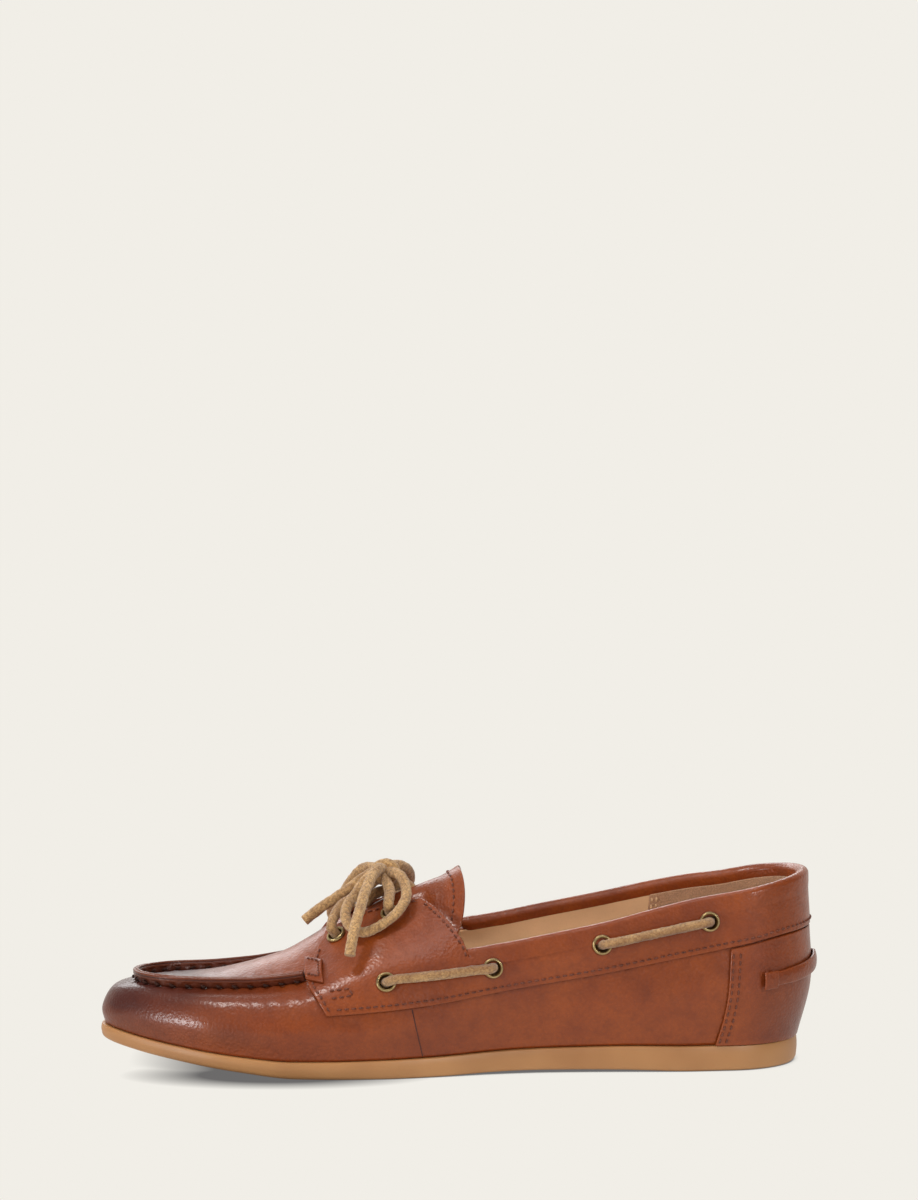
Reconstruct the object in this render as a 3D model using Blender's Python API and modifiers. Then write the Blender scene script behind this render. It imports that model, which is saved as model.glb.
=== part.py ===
"""A leather boat shoe for the left foot, standing on its sole.

Metres, +Z up. The toe points to -X, the outer side of the foot is at -Y, and the floor is z = 0.
The upper, its overlays, the tongue and the seams are all read from one last surface, which is a
loft through five level lines: feather, belly, roll, seam and crown.
"""

import math

import bmesh
import bpy
import numpy as np
from mathutils import Matrix, Vector

MM = 0.001

# Driving sizes
SOLE_LENGTH = 0.2568
BALL_WIDTH = 0.083
COLLAR_HEIGHT = 0.068
INSTEP_HEIGHT = 0.063
SOLE_THICKNESS = 0.0093
TOE_SPRING = 0.0088
ARCH_LIFT = 0.0009
TOE_X = -0.1320
UPPER_WALL = 0.0018
SADDLE_LEATHER = 0.0013
COUNTER_LEATHER = 0.001
STRAP_LEATHER = 0.0012
STRAP_WIDTH = 0.0054
INSOLE_THICKNESS = 0.002
TONGUE_THICKNESS = 0.0022
TONGUE_RISE = 0.0062
TONGUE_COVER = 0.002
WELT_MARGIN = 0.0012
SOLE_ROUND = 0.0016
SOLE_LIP = 0.0006
COLLAR_ROLL = 0.0041
SEAM_RIDGE = 0.003
LACE = 0.004
EYELET_HOLE = 0.005
EYELET_BARREL = 0.0058
EYELET_FLANGE = 0.0074
EYELET_HEIGHT = 0.0009
EYELET_DEPTH = 0.0036
GAP = 0.0003
LEAF_GAP = 0.0006
TONGUE_GAP = 0.001
SEAM_GAP = 0.0006
HEM_GAP = 0.0006
FLANGE_BEVEL = 0.0004
DRILL_DEPTH = 0.014

# Plain colours, linear
LEATHER_COLOUR = (0.235, 0.070, 0.036)
DARK_LEATHER_COLOUR = (0.12, 0.036, 0.022)
GUM_COLOUR = (0.46, 0.22, 0.10)
LINING_COLOUR = (0.38, 0.17, 0.082)
BRASS_COLOUR = (0.35, 0.26, 0.11)
LACE_COLOUR = (0.36, 0.17, 0.07)

HEEL_X = TOE_X + SOLE_LENGTH

# Columns of the grids, then places as shares of the length. The seam knot is the share of a
# column at its seam point, and the normal step is a small share used for slopes.
LAST_COLUMNS = 34
EYELET_STEPS = 10
THROAT_FRONT = 0.667
FLAP_CORNER = 0.5535
COLLAR_CORNER = 0.478
TONGUE_FRONT = 0.728
TONGUE_END = 0.4905
TONGUE_CROWN_CUT = 0.0095
TONGUE_CORNER_CUT = 0.0200
SEAM_KNOT = 0.75
SADDLE_FADE = 0.56
NORMAL_STEP = 0.002


class Table:
    """A short table with named columns, read smoothly between its rows without overshoot."""

    def __init__(self, columns, rows):
        self.columns = columns
        self.values = np.array(rows, float)
        self.slopes = {}
        x = self.values[:, 0]
        step = np.diff(x)
        for number, name in enumerate(columns[1:], 1):
            rise = np.diff(self.values[:, number]) / step
            slope = np.zeros(len(x))
            slope[0], slope[-1] = rise[0], rise[-1]
            for i in range(1, len(x) - 1):
                if rise[i - 1] * rise[i] > 0:
                    before = 2 * step[i] + step[i - 1]
                    after = step[i] + 2 * step[i - 1]
                    slope[i] = (before + after) / (before / rise[i - 1] + after / rise[i])
            self.slopes[name] = slope

    def at(self, name, along):
        """The value of one column at a share of the length, held past both ends."""
        x = self.values[:, 0]
        y = self.values[:, self.columns.index(name)]
        along = min(max(along, x[0]), x[-1])
        i = min(int(np.searchsorted(x, along, side="right")) - 1, len(x) - 2)
        i = max(i, 0)
        step = x[i + 1] - x[i]
        t = (along - x[i]) / step
        s0, s1 = self.slopes[name][i] * step, self.slopes[name][i + 1] * step
        t2, t3 = t * t, t * t * t
        return (
            (2 * t3 - 3 * t2 + 1) * y[i]
            + (t3 - 2 * t2 + t) * s0
            + (3 * t2 - 2 * t3) * y[i + 1]
            + (t3 - t2) * s1
        )


# Every table starts at the heel. Along is a share of the sole's length, half widths are shares
# of the ball width, and the round ends are cut into them by the level's two radii.
OUTLINE = Table(
    ("along", "outer", "inner"),
    [
        (0.00, 0.310, 0.310),
        (0.10, 0.325, 0.315),
        (0.18, 0.345, 0.330),
        (0.28, 0.345, 0.305),
        (0.36, 0.352, 0.275),
        (0.44, 0.385, 0.272),
        (0.52, 0.445, 0.325),
        (0.60, 0.495, 0.412),
        (0.66, 0.507, 0.476),
        (0.73, 0.496, 0.507),
        (0.82, 0.440, 0.458),
        (0.90, 0.350, 0.402),
        (0.96, 0.293, 0.373),
        (1.00, 0.265, 0.350),
    ],
)
# Thickness is a share of the heel's, spring a share of the toe spring, arch of the arch lift.
SOLE_PROFILE = Table(
    ("along", "thickness", "spring", "arch"),
    [
        (0.00, 1.00, 0.05, 0.0),
        (0.02, 1.00, 0.00, 0.0),
        (0.16, 0.99, 0.00, 0.0),
        (0.27, 0.93, 0.00, 0.8),
        (0.40, 0.84, 0.00, 1.0),
        (0.54, 0.76, 0.00, 0.0),
        (0.66, 0.69, 0.00, 0.0),
        (0.72, 0.66, 0.01, 0.0),
        (0.79, 0.60, 0.19, 0.0),
        (0.86, 0.57, 0.43, 0.0),
        (0.93, 0.56, 0.68, 0.0),
        (1.00, 0.56, 1.00, 0.0),
    ],
)
# Heights of the belly, roll and seam are shares of the collar height.
BELLY = Table(
    ("along", "outer", "inner", "height"),
    [
        (-0.02, 0.322, 0.322, 0.44),
        (0.10, 0.345, 0.333, 0.41),
        (0.18, 0.361, 0.347, 0.37),
        (0.28, 0.362, 0.337, 0.32),
        (0.36, 0.368, 0.320, 0.31),
        (0.44, 0.397, 0.325, 0.295),
        (0.52, 0.450, 0.366, 0.285),
        (0.60, 0.495, 0.430, 0.272),
        (0.66, 0.503, 0.480, 0.265),
        (0.73, 0.492, 0.505, 0.257),
        (0.82, 0.440, 0.458, 0.262),
        (0.90, 0.352, 0.404, 0.270),
        (1.00, 0.270, 0.352, 0.288),
    ],
)
ROLL = Table(
    ("along", "outer", "inner", "height"),
    [
        (-0.02, 0.312, 0.312, 0.73),
        (0.10, 0.325, 0.319, 0.70),
        (0.18, 0.340, 0.332, 0.65),
        (0.28, 0.354, 0.335, 0.57),
        (0.36, 0.368, 0.332, 0.51),
        (0.44, 0.395, 0.342, 0.48),
        (0.52, 0.433, 0.374, 0.46),
        (0.60, 0.465, 0.415, 0.445),
        (0.66, 0.470, 0.440, 0.42),
        (0.73, 0.446, 0.440, 0.397),
        (0.82, 0.386, 0.404, 0.395),
        (0.90, 0.302, 0.344, 0.397),
        (1.00, 0.230, 0.290, 0.405),
    ],
)
# The seam line is the moccasin seam in front and the top of the quarters behind.
SEAM = Table(
    ("along", "outer", "inner", "outer_height", "inner_height"),
    [
        (-0.0075, 0.300, 0.300, 0.984, 0.984),
        (0.05, 0.303, 0.300, 0.938, 0.948),
        (0.10, 0.307, 0.301, 0.902, 0.911),
        (0.15, 0.316, 0.308, 0.871, 0.887),
        (0.20, 0.325, 0.313, 0.828, 0.853),
        (0.28, 0.341, 0.323, 0.750, 0.787),
        (0.36, 0.359, 0.325, 0.690, 0.728),
        (0.44, 0.377, 0.333, 0.637, 0.668),
        (0.478, 0.383, 0.338, 0.619, 0.650),
        (0.52, 0.389, 0.350, 0.617, 0.640),
        (0.60, 0.388, 0.361, 0.600, 0.605),
        (0.66, 0.354, 0.346, 0.556, 0.556),
        (0.70, 0.320, 0.323, 0.503, 0.503),
        (0.747, 0.293, 0.297, 0.468, 0.468),
        (0.79, 0.268, 0.274, 0.450, 0.448),
        (0.86, 0.222, 0.228, 0.441, 0.437),
        (0.92, 0.187, 0.195, 0.443, 0.439),
        (0.948, 0.175, 0.180, 0.444, 0.444),
    ],
)
# The crown's height is a share of the instep height. Behind the throat it is only a guide line.
CROWN = Table(
    ("along", "half", "height"),
    [
        (-0.02, 0.24, 1.46),
        (0.28, 0.24, 1.25),
        (0.41, 0.22, 1.16),
        (0.465, 0.00, 1.12),
        (0.486, 0.00, 1.100),
        (0.525, 0.00, 1.048),
        (0.553, 0.00, 1.004),
        (0.588, 0.00, 0.957),
        (0.624, 0.00, 0.903),
        (0.663, 0.00, 0.820),
        (0.6745, 0.00, 0.790),
        (0.708, 0.00, 0.705),
        (0.737, 0.00, 0.640),
        (0.761, 0.00, 0.607),
        (0.80, 0.00, 0.561),
        (0.839, 0.00, 0.526),
        (0.878, 0.00, 0.505),
        (0.93, 0.00, 0.496),
    ],
)
# Half width of the throat and then of the flap's rear edge, from the collar corner forward.
THROAT = Table(
    ("along", "half"),
    [
        (0.478, 0.400),
        (0.483, 0.362),
        (0.500, 0.308),
        (0.518, 0.252),
        (0.536, 0.195),
        (0.5535, 0.140),
        (0.60, 0.122),
        (0.70, 0.100),
    ],
)
# The tongue's half width, and how far it stands up off the last as a share of its rise.
TONGUE_HALF = Table(
    ("along", "half", "rise"),
    [
        (0.49, 0.335, 1.0),
        (0.51, 0.335, 0.72),
        (0.53, 0.325, 0.56),
        (0.56, 0.310, 0.56),
        (0.60, 0.270, 0.50),
        (0.64, 0.235, 0.20),
        (0.66, 0.220, 0.04),
        (0.73, 0.180, 0.0),
    ],
)
# Lower edge of the saddle, as a share of the collar height.
SADDLE_HEM = Table(
    ("along", "height"),
    [
        (-0.02, 0.752),
        (0.031, 0.731),
        (0.095, 0.678),
        (0.185, 0.608),
        (0.284, 0.533),
        (0.404, 0.459),
        (0.513, 0.386),
        (0.60, 0.352),
        (0.677, 0.329),
    ],
)
# Front edge of the saddle: share of the way up from the hem, and place along the length.
SADDLE_FRONT = Table(
    ("up", "along"),
    [
        (0.00, 0.677),
        (0.25, 0.690),
        (0.45, 0.7005),
        (0.65, 0.7025),
        (0.85, 0.692),
        (1.00, 0.676),
    ],
)
# Front edge of the heel counter: share of the way up from the sole, and place along the length.
COUNTER_FRONT = Table(
    ("up", "along"),
    [
        (0.00, 0.128),
        (0.30, 0.117),
        (0.60, 0.110),
        (1.00, 0.1065),
    ],
)
STRAP_FRONT = 0.060
STRAP_HEIGHT_FRONT = 0.492
STRAP_HEIGHT_BACK = 0.552


class Level:
    """One level line of the last: its two ends along the length, its end radii and its table."""

    def __init__(self, table, back, front, heel_round, toe_round):
        self.table = table
        self.back = back
        self.front = front
        self.heel_round = heel_round
        self.toe_round = toe_round

    def along(self, q):
        """The share of the length at a share q of the way from the heel point to the toe point."""
        return self.back + (self.front - self.back) * (1 - math.cos(math.pi * q)) / 2

    def half(self, along, side, inset=0.0):
        """The half width there, with both ends rounded in."""
        half = BALL_WIDTH * self.table.at(side, along) - inset
        from_back = (along - self.back) * SOLE_LENGTH
        from_front = (self.front - along) * SOLE_LENGTH
        return half * round_end(from_back, self.heel_round) * round_end(from_front, self.toe_round)


def round_end(distance, radius):
    """How far a half width has opened at a distance from its round end."""
    if distance >= radius:
        return 1.0
    short = radius - max(distance, 0.0)
    return math.sqrt(max(0.0, 1 - (short / radius) ** 2))


def x_at(along):
    return HEEL_X - SOLE_LENGTH * along


def sign_of(side):
    return -1.0 if side == "outer" else 1.0


def sole_bottom(along):
    """The height of the tread: the toe spring and the arch."""
    spring = TOE_SPRING * SOLE_PROFILE.at("spring", along)
    return spring + ARCH_LIFT * SOLE_PROFILE.at("arch", along)


def sole_top(along):
    return sole_bottom(along) + SOLE_THICKNESS * SOLE_PROFILE.at("thickness", along)


def sole_level(inset):
    """The sole's outline, drawn in by an inset."""
    share = inset / SOLE_LENGTH
    return Level(OUTLINE, share, 1 - share, 0.027 - inset, 0.041 - inset)


FEATHER_LEVEL = sole_level(WELT_MARGIN)
BELLY_LEVEL = Level(BELLY, -0.0140, 0.9995, 0.029, 0.041)
ROLL_LEVEL = Level(ROLL, -0.0115, 0.9830, 0.028, 0.036)
SEAM_LEVEL = Level(SEAM, -0.0075, 0.9480, 0.027, 0.016)
CROWN_LEVEL = Level(CROWN, -0.0070, 0.9250, 0.024, 0.010)


def column_points(q, side):
    """The five points of one column of the last, from the feather to the crown."""
    sign = sign_of(side)
    along = FEATHER_LEVEL.along(q)
    half = FEATHER_LEVEL.half(along, side, WELT_MARGIN)
    points = [(x_at(along), sign * half, sole_top(along) + GAP)]
    for level, height in ((BELLY_LEVEL, "height"), (ROLL_LEVEL, "height"), (SEAM_LEVEL, side + "_height")):
        along = level.along(q)
        z = COLLAR_HEIGHT * level.table.at(height, along)
        points.append((x_at(along), sign * level.half(along, side), z))
    along = CROWN_LEVEL.along(q)
    half = CROWN_LEVEL.half(along, "half")
    points.append((x_at(along), sign * half, INSTEP_HEIGHT * CROWN.at("height", along)))
    return np.array(points)


def on_column(points, t):
    """A point of the column's curve: t runs from 0 at the feather to 1 at the crown."""
    first = 2 * points[0] - points[1]
    last = np.array((points[3][0], -points[3][1], points[3][2]))
    if abs(points[4][1]) > MM:
        last = 2 * points[4] - points[3]
    knots = np.vstack([first, points, last])
    i = min(int(t * 4), 3)
    local = t * 4 - i
    a, b, c, d = knots[i : i + 4]
    before = max(np.linalg.norm(b - a), 1e-6) ** 0.5
    here = max(np.linalg.norm(c - b), 1e-6) ** 0.5
    after = max(np.linalg.norm(d - c), 1e-6) ** 0.5
    start = here * ((b - a) / before - (c - a) / (before + here) + (c - b) / here)
    end = here * ((c - b) / here - (d - b) / (here + after) + (d - c) / after)
    s2, s3 = local * local, local**3
    return (
        (2 * s3 - 3 * s2 + 1) * b
        + (s3 - 2 * s2 + local) * start
        + (3 * s2 - 2 * s3) * c
        + (s3 - s2) * end
    )


def last_point(q, t, side):
    return on_column(column_points(q, side), t)


def last_normal(q, t, side):
    """The outward normal of the last."""
    low, high = max(q - NORMAL_STEP, 0.0), min(q + NORMAL_STEP, 1.0)
    lower, upper = max(t - NORMAL_STEP, 0.0), min(t + NORMAL_STEP, 1.0)
    up = last_point(q, upper, side) - last_point(q, lower, side)
    if low == 0.0:
        along = np.array((0.0, sign_of(side), 0.0))
    elif high == 1.0:
        along = np.array((0.0, -sign_of(side), 0.0))
    else:
        along = last_point(high, t, side) - last_point(low, t, side)
    normal = np.cross(along, up) * sign_of(side)
    return normal / np.linalg.norm(normal)


def offset_point(q, t, side, offset):
    """A point off the last along its normal, outward where the offset is positive."""
    return last_point(q, t, side) + offset * last_normal(q, t, side)


def q_of(along, level=SEAM_LEVEL):
    """The column whose seam point lies at a share of the length."""
    share = (along - level.back) / (level.front - level.back)
    return math.acos(1 - 2 * min(max(share, 0.0), 1.0)) / math.pi


def t_at_height(q, side, height, high=SEAM_KNOT):
    """Where a column of the last reaches a height."""
    points = column_points(q, side)
    low = 0.0
    for _ in range(30):
        middle = (low + high) / 2
        if on_column(points, middle)[2] < height:
            low = middle
        else:
            high = middle
    return (low + high) / 2


def t_at_half(q, side, half):
    """Where a column of the last has come in to a half width, above its seam point."""
    points = column_points(q, side)
    low, high = SEAM_KNOT, 1.0
    for _ in range(30):
        middle = (low + high) / 2
        if abs(on_column(points, middle)[1]) > half:
            low = middle
        else:
            high = middle
    return (low + high) / 2


def column_reaching(side, along, place):
    """The column whose point lies at a share of the length, where place gives its t."""
    target = x_at(along)
    low, high = 0.0, 1.0
    for _ in range(24):
        middle = (low + high) / 2
        if last_point(middle, place(middle), side)[0] > target:
            low = middle
        else:
            high = middle
    return (low + high) / 2


def rim(q, side):
    """The top edge of the leather: the collar, the flap's rear edge and the throat."""
    along = SEAM_LEVEL.along(q)
    if along < COLLAR_CORNER:
        return SEAM_KNOT
    return t_at_half(q, side, BALL_WIDTH * THROAT.at("half", along))


def flap_columns():
    """The columns that carry the corners and the straight rear edge of the flaps."""
    return [q_of(along) for along in THROAT.values[:, 0] if along <= FLAP_CORNER]


def stations(count, specials, first=0.0, last=1.0):
    """Evenly spaced columns, with the special ones in place of those that lie near them."""
    step = (last - first) / count
    even = [first + step * i for i in range(1, count)]
    kept = [q for q in even if all(abs(q - special) > 0.45 * step for special in specials)]
    return sorted([first, last] + kept + list(specials))


def last_columns():
    """The columns of the upper, which the saddle shares."""
    throat = [q_of(THROAT_FRONT), q_of(THROAT_FRONT + 0.004)]
    return stations(LAST_COLUMNS, flap_columns() + throat)


# Shared makers

def collection(name):
    made = bpy.data.collections.new(name)
    bpy.context.scene.collection.children.link(made)
    return made


def material(name, colour, roughness, metallic=0.0):
    """A plain Principled material in linear colour."""
    made = bpy.data.materials.new(name)
    made.use_nodes = True
    shader = made.node_tree.nodes["Principled BSDF"]
    shader.inputs["Base Color"].default_value = (*colour, 1.0)
    shader.inputs["Roughness"].default_value = roughness
    shader.inputs["Metallic"].default_value = metallic
    made.diffuse_color = (*colour, 1.0)
    return made


def mesh_object(name, points, faces, finish, home, sharp=40):
    """A mesh object from a grid, with doubled points joined and faces pointing out."""
    mesh = bpy.data.meshes.new(name)
    mesh.from_pydata([tuple(p) for p in points], [], faces)
    tidy = bmesh.new()
    tidy.from_mesh(mesh)
    bmesh.ops.remove_doubles(tidy, verts=tidy.verts, dist=2e-6)
    bmesh.ops.recalc_face_normals(tidy, faces=tidy.faces)
    tidy.to_mesh(mesh)
    tidy.free()
    mesh.shade_smooth()
    mesh.set_sharp_from_angle(angle=math.radians(sharp))
    mesh.materials.append(finish)
    made = bpy.data.objects.new(name, mesh)
    home.objects.link(made)
    return made


def sheet_faces(rows, columns):
    """The quads of a grid of points that is stored column by column."""
    faces = []
    for i in range(columns - 1):
        for j in range(rows - 1):
            a = i * rows + j
            faces.append((a, a + rows, a + rows + 1, a + 1))
    return faces


def closed_sheet(name, outer, inner, rows, finish, home):
    """A solid between two grids of points of one layout, closed round their edge."""
    columns = len(outer) // rows
    faces = sheet_faces(rows, columns)
    base = rows * columns
    back = [tuple(base + v for v in reversed(face)) for face in faces]
    edge = [i * rows for i in range(columns)]
    edge += [(columns - 1) * rows + j for j in range(1, rows)]
    edge += [i * rows + rows - 1 for i in range(columns - 2, -1, -1)]
    edge += [j for j in range(rows - 2, 0, -1)]
    wall = [(a, b, base + b, base + a) for a, b in zip(edge, edge[1:] + edge[:1])]
    return mesh_object(name, outer + inner, faces + back + wall, finish, home)


def thick_sheet(name, grid, thickness, finish, home):
    """A sheet of leather between two grids, outer face and inner face, closed round its edge.

    The grid is a list of columns, each a list of (q, t, side, offset) for the outer face.
    """
    rows = len(grid[0])
    outer = [offset_point(*place) for column in grid for place in column]
    inner = [offset_point(q, t, side, off - thickness) for column in grid for q, t, side, off in column]
    return closed_sheet(name, outer, inner, rows, finish, home)


def tube(name, points, radius, finish, home):
    """A cord or roll: a poly curve with a round bevel and filled caps."""
    curve = bpy.data.curves.new(name, "CURVE")
    curve.dimensions = "3D"
    curve.bevel_depth = radius
    curve.bevel_resolution = 2
    curve.use_fill_caps = True
    line = curve.splines.new("POLY")
    line.points.add(len(points) - 1)
    for point, place in zip(line.points, points):
        point.co = (*place, 1.0)
    curve.materials.append(finish)
    made = bpy.data.objects.new(name, curve)
    home.objects.link(made)
    return made


def smooth_route(route, spacing):
    """Points at an even spacing on a smooth curve through the route's own points."""
    p = [np.array(r, float) for r in route]
    p = [2 * p[0] - p[1]] + p + [2 * p[-1] - p[-2]]
    fine = []
    for i in range(1, len(p) - 2):
        for step in range(16):
            s = step / 16
            a, b, c, d = p[i - 1 : i + 3]
            fine.append(
                0.5 * (2 * b + (c - a) * s + (2 * a - 5 * b + 4 * c - d) * s**2)
                + 0.5 * (3 * b - a - 3 * c + d) * s**3
            )
    fine.append(p[-2])
    lengths = np.concatenate([[0], np.cumsum([np.linalg.norm(b - a) for a, b in zip(fine, fine[1:])])])
    count = max(2, round(lengths[-1] / spacing))
    marks = np.linspace(0, lengths[-1], count + 1)
    fine = np.array(fine)
    return np.stack([np.interp(marks, lengths, fine[:, k]) for k in range(3)], axis=1)


def as_mesh(made, finish, home):
    """A curve made into a closed mesh in its place."""
    graph = bpy.context.evaluated_depsgraph_get()
    mesh = bpy.data.meshes.new_from_object(made.evaluated_get(graph))
    welded = bmesh.new()
    welded.from_mesh(mesh)
    bmesh.ops.remove_doubles(welded, verts=welded.verts, dist=1e-6)
    bmesh.ops.recalc_face_normals(welded, faces=welded.faces)
    welded.to_mesh(mesh)
    welded.free()
    solid = bpy.data.objects.new(made.name + "_solid", mesh)
    solid.matrix_world = made.matrix_world.copy()
    mesh.materials.clear()
    mesh.materials.append(finish)
    home.objects.link(solid)
    bpy.data.objects.remove(made)
    return solid


def boolean(made, other, operation):
    cut = made.modifiers.new(operation.lower(), "BOOLEAN")
    cut.operation = operation
    cut.object = other
    cut.solver = "EXACT"
    return cut


# Sole and insole

def ring_solid(name, rings, finish, home, count=LAST_COLUMNS):
    """A solid between both sides of an outline: rings are (inset, height function), bottom up."""
    points, faces = [], []
    columns = [i / count for i in range(count + 1)]
    for q in columns:
        for side in ("outer", "inner"):
            run = rings if side == "outer" else rings[::-1]
            for inset, height in run:
                level = sole_level(inset)
                along = level.along(q)
                half = max(level.half(along, side, inset), 0.0)
                points.append((x_at(along), sign_of(side) * half, height(along)))
    around = 2 * len(rings)
    for i in range(count):
        for j in range(around):
            k = (j + 1) % around
            a, b = i * around, (i + 1) * around
            faces.append((a + j, b + j, b + k, a + k))
    return mesh_object(name, points, faces, finish, home)


def make_outsole(finish, home):
    def low_wall(along):
        return sole_bottom(along) + SOLE_ROUND

    def high_wall(along):
        return sole_top(along) - SOLE_LIP

    rings = [
        (SOLE_ROUND, sole_bottom),
        (0.35 * SOLE_ROUND, lambda along: sole_bottom(along) + 0.35 * SOLE_ROUND),
        (0.0, low_wall),
        (0.0, high_wall),
        (SOLE_LIP, sole_top),
    ]
    return ring_solid("outsole", rings, finish, home)


def make_insole(finish, home):
    inset = WELT_MARGIN + UPPER_WALL + 2 * GAP
    rings = [
        (inset, lambda along: sole_top(along) + GAP),
        (inset, lambda along: sole_top(along) + GAP + INSOLE_THICKNESS),
    ]
    return ring_solid("insole", rings, finish, home, 30)


# Upper

def make_upper(finish, home):
    """The hollow upper: an open loft over the last, thickened inward."""
    rows = 10
    columns = last_columns()
    points, faces = [], []
    for side in ("outer", "inner"):
        base = len(points)
        for q in columns:
            closed = SEAM_LEVEL.along(q) > THROAT_FRONT + 0.001
            top = 1.0 if closed else rim(q, side)
            points += [last_point(q, top * j / (rows - 1), side) for j in range(rows)]
        faces += [tuple(base + v for v in face) for face in sheet_faces(rows, len(columns))]
    made = mesh_object("upper", points, faces, finish, home)
    wall = made.modifiers.new("wall", "SOLIDIFY")
    wall.thickness = UPPER_WALL
    wall.offset = -1.0
    wall.use_even_offset = True
    return made


def saddle_grid(offset):
    """Columns of the saddle from the outer front edge round the heel to the inner front edge."""
    rows = 7
    front = q_of(SADDLE_FRONT.at("along", 0.0))
    columns = [q for q in last_columns() if q < front - 0.01] + [front]
    fade = q_of(SADDLE_FADE)

    def height_share(q, side, up):
        along = SEAM_LEVEL.along(q)
        hem = t_at_height(q, side, COLLAR_HEIGHT * SADDLE_HEM.at("height", along))
        return hem + (rim(q, side) - hem) * up

    def edge(side, up):
        along = SADDLE_FRONT.at("along", up)
        return column_reaching(side, along, lambda q: height_share(q, side, up))

    ends = {side: [edge(side, j / (rows - 1)) for j in range(rows)] for side in ("outer", "inner")}

    def column(q, side):
        places = []
        share = max(0.0, (q - fade) / (front - fade))
        for j in range(rows):
            moved = q + (ends[side][j] - front) * share
            places.append((moved, height_share(moved, side, j / (rows - 1)), side, offset))
        return places

    outer = [column(q, "outer") for q in reversed(columns)]
    inner = [column(q, "inner") for q in columns[1:]]
    return outer + inner


def make_saddle(finish, home):
    return thick_sheet("saddle", saddle_grid(LEAF_GAP + SADDLE_LEATHER), SADDLE_LEATHER, finish, home)


def make_counter(finish, home):
    """The heel counter, from the sole up to the hem of the saddle."""
    rows = 6
    count = 9
    offset = LEAF_GAP + COUNTER_LEATHER

    def height_share(q, side, up):
        hem = COLLAR_HEIGHT * SADDLE_HEM.at("height", SEAM_LEVEL.along(q)) - HEM_GAP
        return t_at_height(q, side, hem) * up

    def edge(side, up):
        along = COUNTER_FRONT.at("along", up)
        return column_reaching(side, along, lambda q: height_share(q, side, up))

    ends = {side: [edge(side, j / (rows - 1)) for j in range(rows)] for side in ("outer", "inner")}

    def column(share, side):
        places = []
        for j in range(rows):
            q = ends[side][j] * share
            places.append((q, height_share(q, side, j / (rows - 1)), side, offset))
        return places

    outer = [column(1 - i / count, "outer") for i in range(count + 1)]
    inner = [column(i / count, "inner") for i in range(1, count + 1)]
    return thick_sheet("heel_counter", outer + inner, COUNTER_LEATHER, finish, home)


def make_strap(finish, home):
    """The narrow strap round the heel, over the counter."""
    count = 7
    offset = LEAF_GAP + COUNTER_LEATHER + LEAF_GAP + STRAP_LEATHER

    def column(share, side):
        q = q_of(STRAP_FRONT) * share
        middle = STRAP_HEIGHT_BACK + (STRAP_HEIGHT_FRONT - STRAP_HEIGHT_BACK) * share
        low = t_at_height(q, side, COLLAR_HEIGHT * middle - STRAP_WIDTH / 2)
        high = t_at_height(q, side, COLLAR_HEIGHT * middle + STRAP_WIDTH / 2)
        return [(q, low, side, offset), (q, (low + high) / 2, side, offset), (q, high, side, offset)]

    outer = [column(1 - i / count, "outer") for i in range(count + 1)]
    inner = [column(i / count, "inner") for i in range(1, count + 1)]
    return thick_sheet("heel_strap", outer + inner, STRAP_LEATHER, finish, home)


# Seam ridge and collar roll

def make_ridge(finish, home):
    """The raised moccasin seam, from the saddle's front edge round the toe."""
    end = q_of(SADDLE_FRONT.at("along", 0.5) + 0.006)
    count = 17
    lift = SEAM_GAP + SEAM_RIDGE / 2
    columns = [end + (1 - end) * i / count for i in range(count + 1)]
    outer = [offset_point(q, SEAM_KNOT, "outer", lift) for q in columns]
    inner = [offset_point(q, SEAM_KNOT, "inner", lift) for q in reversed(columns[:-1])]
    return tube("moc_ridge", outer + inner, SEAM_RIDGE / 2, finish, home)


def make_collar_roll(finish, home):
    """The rolled edge of the collar, from the rear corner of one flap to the other."""
    start = q_of(COLLAR_CORNER - 0.002)
    count = 20
    across = (LEAF_GAP + SADDLE_LEATHER - UPPER_WALL) / 2

    def place(q, side):
        below = last_point(q, SEAM_KNOT - 0.02, side)
        top = last_point(q, SEAM_KNOT, side)
        up = (top - below) / np.linalg.norm(top - below)
        return top + up * (GAP + COLLAR_ROLL / 2) + across * last_normal(q, SEAM_KNOT, side)

    columns = [start * (1 - i / count) for i in range(count + 1)]
    outer = [place(q, "outer") for q in columns]
    inner = [place(q, "inner") for q in reversed(columns[:-1])]
    return tube("collar_roll", outer + inner, COLLAR_ROLL / 2, finish, home)


# Tongue

def tongue_end(across):
    """Where the tongue ends: cut back at its crown and at both corners."""
    crown = max(0.0, 1 - abs(across) / 0.55) ** 2
    return TONGUE_END + TONGUE_CROWN_CUT * crown + TONGUE_CORNER_CUT * across**6


def make_tongue(finish, home):
    """The tongue: under the vamp and the flaps in front, standing free behind them."""
    columns, rows = 13, 11
    outer, inner = [], []
    for i in range(columns):
        for j in range(rows):
            across = -1 + 2 * j / (rows - 1)
            along = TONGUE_FRONT + (tongue_end(across) - TONGUE_FRONT) * i / (columns - 1)
            half = BALL_WIDTH * TONGUE_HALF.at("half", along)
            cover = BALL_WIDTH * THROAT.at("half", along) - TONGUE_COVER
            side = "outer" if across < 0 else "inner"
            q = q_of(along)
            t = t_at_half(q, side, abs(across) * half)
            free = max(0.0, 1 - (abs(across) * half / cover) ** 2)
            rise = TONGUE_RISE * TONGUE_HALF.at("rise", along) * free
            offset = rise - UPPER_WALL - TONGUE_GAP
            outer.append(offset_point(q, t, side, offset))
            inner.append(offset_point(q, t, side, offset - TONGUE_THICKNESS))
    return closed_sheet("tongue", outer, inner, rows, finish, home)


# Eyelets and laces

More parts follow.
